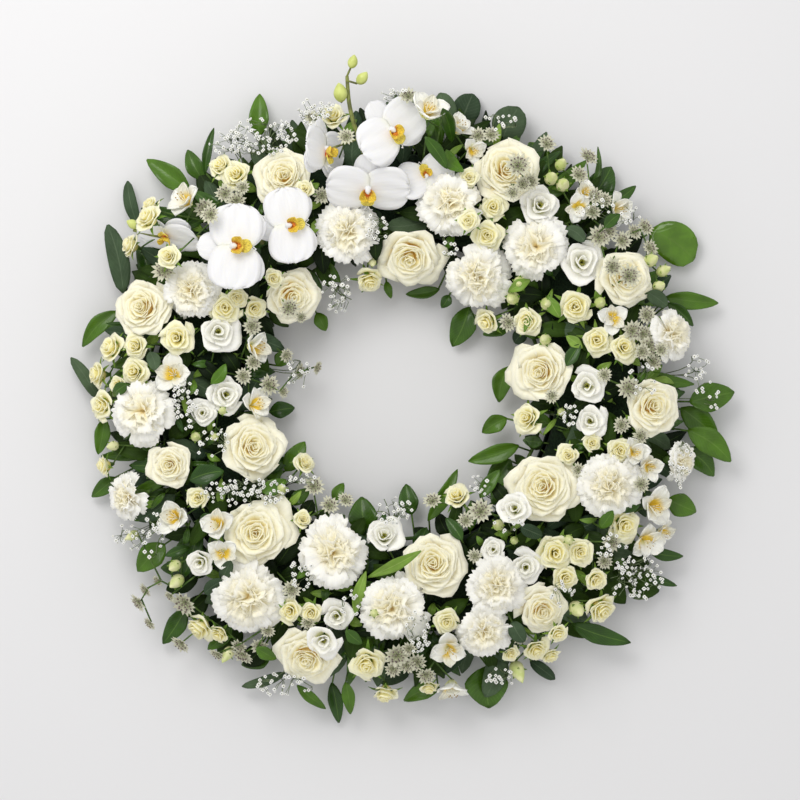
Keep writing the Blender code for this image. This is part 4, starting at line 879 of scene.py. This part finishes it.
def plantClouds(arcs):
    # Baby's breath: florets on threads that spread from small twigs. The twigs of a cloud leave the branch
    # below it at one place, on parabolas. A floret is a shallow cup of eight points, wide at the rim and dented
    # in the middle.
    draw = np.random.default_rng(7)
    about = np.arange(8) * math.pi / 4
    rim = np.where(np.arange(8) % 2 == 0, 1.0, 0.82)
    levels = ((0.25, -0.45, 1.0), (1.0, 0.10, rim), (0.62, 0.26, rim), (0.16, 0.02, 1.0))
    t = np.linspace(0, 1, 6)[:, None]
    gathered = {}
    for across, down, wide, tall, count in clouds:
        near = np.hypot(*onFace(across, down)[:2]) < layout["breathParting"]
        name, ends = branchLook["innerBranch" if near else "outerBranch"]
        twigs = max(2, count // breathLook["perTwig"])
        angle = draw.uniform(0, 2 * math.pi, twigs + count)
        away = np.sqrt(draw.random(twigs + count))
        a = across + wide * away * np.cos(angle)
        d = down + tall * away * np.sin(angle)
        hub = seatOf(across, down)[0] - raised(16 * mm)
        node = f"{name}_{shareOf(hub, ends)}"
        root = nearestOn(arcs[node], hub)
        found = gathered.setdefault(node, {"stems": [], "threads": [], "florets": []})
        forks = []
        for k in range(twigs):
            fork = seatOf(a[k], d[k])[0] - raised(draw.uniform(3, 12) * mm)
            bow = hub + draw.normal(0, 3, 3) * mm
            forks.append(fork)
            found["stems"].append(root * (1 - t) ** 2 + bow * (2 * t * (1 - t)) + fork * t ** 2)
        for k in range(twigs, twigs + count):
            centre = seatOf(a[k], d[k])[0]
            centre[2] += draw.uniform(*breathLook["rise"]) * mm
            fork = min(forks, key=lambda place: np.linalg.norm(place - centre))
            size = draw.uniform(*breathLook["size"]) * mm
            centre = restOnBigger(node, centre, size)
            way = unit(unit(centre - fork) + raised(0.7) + draw.normal(0, 0.3, 3))
            first, second = frameAbout(way)
            level = first * np.cos(about)[:, None] + second * np.sin(about)[:, None]
            rings = [centre + size * (level * (reach * wavy * np.ones(8))[:, None] + way * height)
                     for reach, height, wavy in levels]
            found["florets"].append(np.stack(rings))
            bend = (fork + centre) / 2 + draw.normal(0, 1.5, 3) * mm
            found["threads"].append(np.stack([fork, bend, centre - way * size * 0.3]))
    for node, found in gathered.items():
        florets = np.stack(found["florets"])
        addSurfaces(
            node, stacks(florets, np.full(len(florets), 0.5), draw.random(len(florets)), "floret"),
            tubes(np.stack(found["threads"]), breathLook["thread"], 4, [0.5], [0.5], "breathStem"),
            tubes(np.stack(found["stems"]), breathLook["twig"], 4, [0.5], [0.5], "breathStem"))


# Leaves that fill the wreath: how many, where they start across the foam (mm from its middle line) and at
# what height, which way they point (degrees from outwards), how long and wide they are, and how far they drop
fillLook = {
    "between": {
        "count": 250, "across": (-40, 40), "height": (50, 66), "way": (0, 180), "long": (30, 50),
        "wide": (13, 22), "drop": (-10, 10), "kinds": ("underLeaf", "underLeaf", "underLeaf", "gumLeaf")},
    "young": {
        "count": 210, "across": (-46, 46), "height": (57, 68), "way": (0, 180), "long": (14, 26),
        "wide": (5, 10), "drop": (-12, 4), "kinds": ("freshLeaf", "leaf", "freshLeaf", "sepal")},
    "outerRim": {
        "count": 190, "across": (34, 42), "height": (24, 50), "way": (0, 46), "long": (42, 66),
        "wide": (12, 22), "drop": (0, 24), "kinds": ("underLeaf", "underLeaf", "leaf", "gumLeaf")},
    "rimYoung": {
        "count": 80, "across": (40, 62), "height": (40, 58), "way": (0, 70), "long": (16, 30),
        "wide": (6, 11), "drop": (0, 14), "kinds": ("freshLeaf", "leaf", "leaf", "sepal")},
    "innerRim": {
        "count": 64, "across": (-42, -36), "height": (24, 46), "way": (180, 36), "long": (18, 34),
        "wide": (11, 18), "drop": (0, 22), "kinds": ("underLeaf", "leaf")},
}
openKinds = ("rose", "carnation", "lisianthus", "orchid", "alstroemeria")


def coversBloom(start, tip):
    # Whether a leaf from start to tip would come out through one of the open blooms
    shown = [head for head in heads if head[1] in openKinds]
    centres, radii = np.array([head[2] for head in shown]), np.array([head[4] for head in shown])
    points = start + (tip - start) * np.array([0.15, 0.45, 0.75, 1.0])[:, None] + raised(5 * mm)
    away = points[:, None] - centres[None]
    inside = np.hypot(away[..., 0], away[..., 1]) < 0.85 * radii
    return bool(np.any(inside & (away[..., 2] > -0.45 * radii)))


def plantFill():
    # Leaves that fill the wreath, evenly round it but for a random step, and none through an open bloom
    draw = np.random.default_rng(21)
    for look in fillLook.values():
        for k in range(look["count"]):
            about = 2 * math.pi * (k + draw.uniform(-0.5, 0.5)) / look["count"]
            radius = layout["ringRadius"] + draw.uniform(*look["across"]) * mm
            height = draw.uniform(*look["height"]) * mm
            root = np.array([radius * math.cos(about), radius * math.sin(about), min(height, 44 * mm)])
            lean = about + math.radians(look["way"][0] + draw.uniform(-1, 1) * look["way"][1])
            way = np.array([math.cos(lean), math.sin(lean), 0.0])
            start = root + way * 7 * mm
            start[2] = height
            tip = start + way * draw.uniform(*look["long"]) * mm
            tip[2] = max(tip[2] - draw.uniform(*look["drop"]) * mm, 6 * mm)
            if coversBloom(start, tip):
                continue
            kind = look["kinds"][draw.integers(len(look["kinds"]))]
            node = f"fillLeaves{int((about % (2 * math.pi)) / (math.pi / 2)) % 4 + 1}"
            width = draw.uniform(*look["wide"]) * mm
            addLeaf(node, root, [start, tip], width, kind, draw, 6 * mm, (8, 5))


trayLook = {"steps": 120, "wall": 2 * mm, "floor": 3 * mm, "height": 22 * mm, "gap": 0.6 * mm}
foamLook = {"seat": 0.3 * mm, "shoulder": 14 * mm, "power": 0.6}


def turnedRing(section, steps, material):
    # A closed section of (distance from the ring's middle line, height), carried once round the ring
    section = np.asarray(section, float)
    about = np.linspace(0, 2 * math.pi, steps, endpoint=False)[:, None]
    radius = layout["ringRadius"] + section[None, :, 0]
    points = pointsOf(radius * np.cos(about), radius * np.sin(about), section[None, :, 1])
    index = np.arange(steps * len(section)).reshape(steps, len(section))
    onwards, after = np.roll(index, -1, axis=0), np.roll(index, -1, axis=1)
    quads = quadsOf(index, onwards, np.roll(onwards, -1, axis=1), after)
    return {"points": points.reshape(-1, 3), "quads": quads, "petal": np.zeros((index.size, 3)),
            "tint": np.full(index.size, 0.5), "material": material}


def baseRings():
    # The tray's section has a rim on both sides, and the foam's has a rounded top on a power of a sine
    half, wall = layout["foamHalfWidth"] + trayLook["gap"], trayLook["wall"]
    top, floorTop = trayLook["height"], trayLook["floor"]
    side = [(half + wall, 0.0), (half + 2 * wall, top - mm), (half + 2 * wall, top), (half + wall, top),
            (half, floorTop)]
    tray = side + [(-away, height) for away, height in reversed(side)]
    addSurfaces("base_tray", turnedRing(tray, trayLook["steps"], "tray"))
    half, shoulder, seat = layout["foamHalfWidth"], foamLook["shoulder"], floorTop + foamLook["seat"]
    slopes = np.radians(np.linspace(0, 180, 13))
    crown = [(half * math.cos(a), layout["foamTop"] - shoulder + shoulder * math.sin(a) ** foamLook["power"])
             for a in slopes]
    addSurfaces("foam_ring", turnedRing([(-half, seat), (half, seat)] + crown, trayLook["steps"], "foam"))


# Materials: petals read how far across and along the petal a point is, and how far out the petal stands


def shaderNode(tree, kind, given=(), **settings):
    # A new node with its settings. Each input given by name or number gets a value or another node's output.
    node = tree.nodes.new("ShaderNode" + kind)
    for key, value in settings.items():
        setattr(node, key, value)
    for key, value in dict(given).items():
        if isinstance(value, bpy.types.NodeSocket):
            tree.links.new(value, node.inputs[key])
        else:
            node.inputs[key].default_value = (*value, 1.0) if isinstance(value, tuple) else value
    return node


def worked(tree, operation, *values):
    # The result of one operation
    return shaderNode(tree, "Math", enumerate(values), operation=operation).outputs[0]


def mapped(tree, source, fromLow, fromHigh, toLow=0.0, toHigh=1.0):
    # A value carried from one range to another by a smooth step
    given = {"Value": source, "From Min": fromLow, "From Max": fromHigh, "To Min": toLow, "To Max": toHigh}
    return shaderNode(tree, "MapRange", given, interpolation_type="SMOOTHSTEP").outputs["Result"]


def mixedColour(tree, factor, first, second, blend="MIX"):
    # Two colours mixed by a factor
    given = {0: factor, 6: first, 7: second}
    return shaderNode(tree, "Mix", given, data_type="RGBA", blend_type=blend).outputs[2]


def attributeOf(tree, name, output="Fac"):
    # A value that the mesh holds at each point
    return shaderNode(tree, "Attribute", attribute_name=name).outputs[output]


def petalPlace(tree):
    # How far across a petal a point is, how far along it, and the petal's layer
    return shaderNode(tree, "SeparateXYZ", {0: attributeOf(tree, "petal", "Vector")}).outputs


def objectPlace(tree):
    # The point itself, in the object's own coordinates
    return shaderNode(tree, "TexCoord").outputs["Object"]


def noiseOf(tree, place, scale, detail):
    # Noise between 0 and 1
    return shaderNode(tree, "TexNoise", {"Vector": place, "Scale": scale, "Detail": detail}).outputs["Fac"]


def givenRelief(tree, shader, height, strength, depth, inverted=False):
    # Lets a height bend the shader's normal
    given = {"Height": height, "Strength": strength, "Distance": depth}
    bump = shaderNode(tree, "Bump", given, invert=inverted)
    tree.links.new(bump.outputs["Normal"], shader.inputs["Normal"])


def petalGrainGroup():
    # Fine veins that run along a petal: noise stretched along it, given as a shade and a height
    group = bpy.data.node_groups.new("petalGrain", "ShaderNodeTree")
    for name, value in (("Across", 12.0), ("Along", 1.4), ("Depth", 0.10)):
        socket = group.interface.new_socket(name=name, in_out="INPUT", socket_type="NodeSocketFloat")
        socket.default_value = value
    for name, kind in (("Shade", "NodeSocketColor"), ("Height", "NodeSocketFloat")):
        group.interface.new_socket(name=name, in_out="OUTPUT", socket_type=kind)
    given = group.nodes.new("NodeGroupInput").outputs
    result = group.nodes.new("NodeGroupOutput").inputs
    across, along, _ = petalPlace(group)
    place = shaderNode(group, "CombineXYZ", {
        0: worked(group, "MULTIPLY", across, given["Across"]),
        1: worked(group, "MULTIPLY", along, given["Along"]),
        2: worked(group, "MULTIPLY", attributeOf(group, "tint"), 37.0),
    }).outputs[0]
    soft = mapped(group, noiseOf(group, place, 1.0, 4.0), 0.30, 0.70)
    darkest = worked(group, "SUBTRACT", 1.0, given["Depth"])
    shade = shaderNode(group, "MapRange", {"Value": soft, "To Min": darkest, "To Max": 1.0}).outputs["Result"]
    group.links.new(shade, result["Shade"])
    group.links.new(soft, result["Height"])
    return group


petalGrain = petalGrainGroup()

# What all the materials share: a faint painted glow in the petals' own colour lifts their shade, standing in
# for the light that comes through thin petals, and a little scatter
surfaceLook = {"paintedGlow": 0.07, "scatterRadius": (1.0, 0.9, 0.6), "scatterScale": 0.002, "sheen": 0.15,
               "specular": 0.3, "mattSpecular": 0.14}


def newMaterial(name, roughness, subsurface=0.0, sheen=0.0, coat=0.0, specular=surfaceLook["specular"]):
    # A material with its shader's values
    material = bpy.data.materials.new(name)
    material.use_nodes = True
    shader = material.node_tree.nodes["Principled BSDF"]
    for key, value in {
        "Roughness": roughness, "Subsurface Weight": subsurface, "Sheen Weight": sheen, "Coat Weight": coat,
        "Specular IOR Level": specular, "Subsurface Radius": surfaceLook["scatterRadius"],
        "Subsurface Scale": surfaceLook["scatterScale"],
    }.items():
        shader.inputs[key].default_value = value
    return material, material.node_tree, shader


def petalMaterial(name, heart, outside, foot, footReach, grain, roughness, subsurface, edge=None):
    # The foot's colour near the petal's base, then one that changes from the heart's petals to the outer ones.
    # The roses' and carnations' warm foot is partly their own colour and partly painted shade for the deep gaps
    # between petals.
    material, tree, shader = newMaterial(name, roughness, subsurface, surfaceLook["sheen"])
    _, along, layer = petalPlace(tree)
    colour = mixedColour(tree, mapped(tree, layer, 0.10, 0.80), heart, outside)
    colour = mixedColour(tree, mapped(tree, along, *footReach), foot, colour)
    if edge:
        colour = mixedColour(tree, mapped(tree, along, 0.78, 1.0, 0.0, edge[1]), colour, edge[0])
    veins = shaderNode(tree, "Group", node_tree=petalGrain)
    for key, value in grain.items():
        veins.inputs[key].default_value = value
    for shade in (veins.outputs["Shade"], mapped(tree, attributeOf(tree, "tint"), 0.0, 1.0, 0.94, 1.0)):
        colour = mixedColour(tree, 1.0, colour, shade, "MULTIPLY")
    # The petal's colour also feeds the emission: painted light, a faint glow that brightens the petals' shade
    for socket in ("Base Color", "Emission Color"):
        tree.links.new(colour, shader.inputs[socket])
    shader.inputs["Emission Strength"].default_value = surfaceLook["paintedGlow"]
    givenRelief(tree, shader, veins.outputs["Height"], 0.25, 0.0006)
    return material


def leafMaterial(name, light, dark, rib, roughness, veinScale, coat):
    # Green between two tones, a paler rib down the middle, and side veins that slant from it
    specular = surfaceLook["specular" if coat else "mattSpecular"]
    material, tree, shader = newMaterial(name, roughness, coat=coat, specular=specular)
    across, along, _ = petalPlace(tree)
    aside = worked(tree, "ABSOLUTE", across)
    slanted = worked(tree, "MULTIPLY_ADD", aside, -0.32, along)
    veins = worked(tree, "SINE", worked(tree, "MULTIPLY", slanted, veinScale))
    colour = mixedColour(tree, mapped(tree, attributeOf(tree, "tint"), 0.0, 1.0), light, dark)
    colour = mixedColour(tree, mapped(tree, veins, 0.6, 1.0, 0.0, 0.16), colour, rib)
    colour = mixedColour(tree, mapped(tree, aside, 0.02, 0.08, 0.6, 0.0), colour, rib)
    patch = mapped(tree, noiseOf(tree, objectPlace(tree), 60.0, 3.0), 0.3, 0.7, 0.78, 1.12)
    colour = mixedColour(tree, 1.0, colour, patch, "MULTIPLY")
    tree.links.new(colour, shader.inputs["Base Color"])
    givenRelief(tree, shader, mapped(tree, veins, 0.55, 1.0), 0.35, 0.0005, True)
    return material


def mottledMaterial(name, light, dark, roughness, scale, relief, coat=0.0):
    # Noise between two colours, with the same noise as its relief
    material, tree, shader = newMaterial(name, roughness, coat=coat)
    noise = noiseOf(tree, objectPlace(tree), scale, 5.0)
    colour = mixedColour(tree, mapped(tree, noise, 0.35, 0.65), dark, light)
    tree.links.new(colour, shader.inputs["Base Color"])
    givenRelief(tree, shader, noise, 0.5, relief)
    return material


def grainOf(across, along, depth):
    # How fine a petal's veins are across it and along it, and how dark they get
    return {"Across": across, "Along": along, "Depth": depth}


fineGrain = grainOf(9.0, 1.2, 0.05)
ribGrain = grainOf(16.0, 1.0, 0.06)
# Colours of the heart's petals, of the outer ones and of a petal's foot, how far up the foot's colour
# reaches, the grain, roughness, the light that scatters inside, and for some the edge's colour and its share
petalPaint = {
    # The gold feet of the roses and carnations are partly painted shade for the deep gaps between their petals
    "rosePetal": ((0.97, 0.88, 0.50), (0.965, 0.93, 0.73), (0.97, 0.70, 0.16), (0.10, 0.85), fineGrain, 0.5,
                  0.12, ((0.965, 0.94, 0.78), 0.6)),
    "sprayPetal": ((0.96, 0.87, 0.38), (0.95, 0.92, 0.63), (0.82, 0.70, 0.12), (0.05, 0.80), fineGrain, 0.5,
                   0.12, ((0.95, 0.93, 0.72), 0.6)),
    "lisianthusPetal": ((0.96, 0.95, 0.86), (0.96, 0.95, 0.89), (0.78, 0.78, 0.42), (0.05, 0.45), fineGrain,
                        0.5, 0.12),
    "carnationPetal": ((0.97, 0.92, 0.72), (0.96, 0.95, 0.89), (0.97, 0.82, 0.45), (0.20, 0.75), ribGrain,
                       0.65, 0.12),
    "orchidPetal": ((0.85, 0.85, 0.86), (0.84, 0.84, 0.85), (0.86, 0.86, 0.76), (0.0, 0.22),
                    grainOf(7.0, 1.5, 0.03), 0.45, 0.12),
    "orchidLip": ((0.95, 0.66, 0.05), (0.95, 0.80, 0.14), (0.70, 0.16, 0.03), (0.10, 0.55),
                  grainOf(6.0, 6.0, 0.45), 0.45, 0.1),
    "trumpetPetal": ((0.95, 0.95, 0.88), (0.95, 0.94, 0.82), (0.82, 0.84, 0.42), (0.10, 0.50),
                     grainOf(12.0, 1.5, 0.06), 0.5, 0.12),
    "trumpetInner": ((0.95, 0.93, 0.78), (0.95, 0.93, 0.78), (0.95, 0.66, 0.06), (0.38, 0.74),
                     grainOf(16.0, 5.0, 0.30), 0.5, 0.12),
    "bract": ((0.62, 0.62, 0.44), (0.72, 0.71, 0.56), (0.32, 0.36, 0.16), (0.0, 0.7), ribGrain, 0.7, 0.1),
    "floret": ((0.91, 0.91, 0.88), (0.91, 0.91, 0.88), (0.36, 0.44, 0.18), (0.0, 0.25), fineGrain, 0.7, 0.1,
               ((0.16, 0.18, 0.07), 1.0)),
}
# Light and dark green, the rib's colour, roughness, how close the side veins stand, and the gloss
leafPaint = {
    "sepal": ((0.24, 0.38, 0.06), (0.13, 0.26, 0.03), (0.40, 0.50, 0.14), 0.5, 40, 0.0),
    "leaf": ((0.072, 0.172, 0.006), (0.018, 0.066, 0.003), (0.12, 0.23, 0.03), 0.32, 75, 0.16),
    "broadLeaf": ((0.095, 0.215, 0.010), (0.060, 0.160, 0.006), (0.11, 0.22, 0.02), 0.28, 20, 0.3),
    # A darker copy of the leaf's greens: painted shade for the leaves that lie under and between the blooms
    "underLeaf": ((0.026, 0.060, 0.003), (0.003, 0.010, 0.001), (0.04, 0.08, 0.01), 0.5, 75, 0.0),
    "freshLeaf": ((0.22, 0.36, 0.05), (0.11, 0.23, 0.02), (0.34, 0.46, 0.12), 0.45, 10, 0.05),
    "gumLeaf": ((0.078, 0.122, 0.062), (0.028, 0.056, 0.028), (0.12, 0.17, 0.10), 0.6, 55, 0.0),
}
# Light and dark tone, roughness, how fine the mottling is, its relief (m), and for some the gloss
mottledPaint = {
    "callus": ((0.88, 0.36, 0.03), (0.50, 0.08, 0.02), 0.5, 420, 0.0003),
    "pinHead": ((0.36, 0.30, 0.26), (0.07, 0.045, 0.05), 0.8, 900, 0.0002),
    "anther": ((0.62, 0.44, 0.14), (0.36, 0.24, 0.08), 0.8, 900, 0.0002),
    "pistil": ((0.52, 0.50, 0.10), (0.34, 0.36, 0.08), 0.6, 700, 0.0002),
    "budSkin": ((0.80, 0.80, 0.46), (0.58, 0.66, 0.24), 0.5, 90, 0.0004, 0.1),
    "orchidBud": ((0.64, 0.70, 0.22), (0.46, 0.52, 0.12), 0.45, 70, 0.0003, 0.1),
    "stalk": ((0.10, 0.18, 0.03), (0.04, 0.085, 0.012), 0.6, 120, 0.0003),
    "breathStem": ((0.24, 0.30, 0.15), (0.11, 0.16, 0.07), 0.6, 300, 0.0001),
    "orchidStem": ((0.22, 0.25, 0.06), (0.11, 0.12, 0.035), 0.45, 150, 0.0003),
    # Far darker than the foam's own green: painted shade for the foam that shows in the gaps between the leaves
    "foam": ((0.010, 0.026, 0.009), (0.003, 0.009, 0.003), 0.95, 500, 0.0008),
    "tray": ((0.010, 0.028, 0.014), (0.007, 0.020, 0.010), 0.42, 300, 0.0002),
}
materials = {}
makers = ((petalMaterial, petalPaint), (leafMaterial, leafPaint), (mottledMaterial, mottledPaint))
for maker, paints in makers:
    for name, paint in paints.items():
        materials[name] = maker(name, *paint)

trayMiddle = (np.array(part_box("base_tray")[0]) + np.array(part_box("base_tray")[1])) / 2


def placed(name, data):
    # A new object in the scene
    thing = bpy.data.objects.new(name, data)
    bpy.context.scene.collection.objects.link(thing)
    return thing


def together(surfaces, key):
    # One array from all the surfaces of a piece
    return np.concatenate([surface[key] for surface in surfaces])


def makePieces():
    # One mesh from each piece's surfaces. It rides on the root, and stands for the node of its name, if any.
    shift = trayMiddle * np.array([1, 1, 0])
    total = 0
    for name, surfaces in pieceSurfaces.items():
        points = together(surfaces, "points") + shift
        starts = np.cumsum([0] + [len(s["points"]) for s in surfaces[:-1]])
        quads = np.concatenate([s["quads"] + start for s, start in zip(surfaces, starts)])
        used = sorted({s["material"] for s in surfaces})
        chosen = np.concatenate([np.full(len(s["quads"]), used.index(s["material"])) for s in surfaces])
        mesh = bpy.data.meshes.new(name)
        mesh.from_pydata(points.tolist(), [], quads.tolist())
        for material in used:
            mesh.materials.append(materials[material])
        mesh.polygons.foreach_set("material_index", chosen.astype(np.int32))
        petal = mesh.attributes.new("petal", "FLOAT_VECTOR", "POINT")
        petal.data.foreach_set("vector", together(surfaces, "petal").astype(np.float32).ravel())
        tint = mesh.attributes.new("tint", "FLOAT", "POINT")
        tint.data.foreach_set("value", together(surfaces, "tint").astype(np.float32))
        mesh.shade_smooth()
        piece = placed(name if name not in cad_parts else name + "_look", mesh)
        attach(piece, "root")
        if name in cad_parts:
            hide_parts(name)
        total += 2 * len(quads)
    print(len(pieceSurfaces), "pieces with", total, "triangles")


# The camera looks straight down on the blooms from far off, over the photograph's middle pixel
stageLook = {
    "floor": (0.79, 0.79, 0.805), "floorHalf": 6, "world": 0.79, "worldColour": (1.0, 0.995, 0.985),
    "key": 12.4, "keyColour": (1.0, 0.985, 0.96), "keyPlace": (-0.55, 0.95, 1.45), "keySize": 1.0,
    "keyAim": (0, 0, 0.05), "distance": 5.0, "bloomHeight": 75 * mm, "pixels": 800, "sensor": 36,
}


def makeStage():
    # A plain floor, soft light from all round, one key light, and the camera
    look = stageLook
    mesh = bpy.data.meshes.new("floor")
    half = look["floorHalf"]
    corners = [(-half, -half, 0), (half, -half, 0), (half, half, 0), (-half, half, 0)]
    mesh.from_pydata(corners, [], [(0, 1, 2, 3)])
    floor = placed("floor", mesh)
    material, _, shader = newMaterial("floorPaint", 0.9)
    shader.inputs["Base Color"].default_value = (*look["floor"], 1.0)
    mesh.materials.append(material)
    world = bpy.data.worlds.new("studio")
    bpy.context.scene.world = world
    world.use_nodes = True
    background = world.node_tree.nodes["Background"].inputs
    background["Color"].default_value = (*look["worldColour"], 1.0)
    background["Strength"].default_value = look["world"]
    light = bpy.data.lights.new("key", "AREA")
    light.shape = "DISK"
    light.size = look["keySize"]
    light.energy = look["key"]
    light.color = look["keyColour"]
    lamp = placed("key", light)
    lamp.location = look["keyPlace"]
    lamp.rotation_mode = "QUATERNION"
    lamp.rotation_quaternion = (Vector(look["keyAim"]) - lamp.location).to_track_quat("-Z", "Y")
    camera = bpy.data.cameras.new("camera")
    viewer = placed("camera", camera)
    shift = onFace(look["pixels"] / 2, look["pixels"] / 2)
    viewer.location = (*(trayMiddle + shift)[:2], look["bloomHeight"] + look["distance"])
    camera.sensor_width = look["sensor"]
    camera.lens = look["sensor"] * look["distance"] / (look["pixels"] * layout["pixel"])
    camera.clip_start, camera.clip_end = 0.1, 50
    bpy.context.scene.camera = viewer
    bpy.context.scene.view_settings.view_transform = "Standard"
    bpy.context.scene.view_settings.look = "None"


plantBlooms()
plantOrchids()
plantSprays()
pressHeads()
arcs = plantFringe("outerBranch", outerLeaves)
arcs.update(plantFringe("innerBranch", innerLeaves))
plantTopLeaves()
plantClouds(arcs)
plantFill()
baseRings()
print("surfaces worked out")
makePieces()
makeStage()
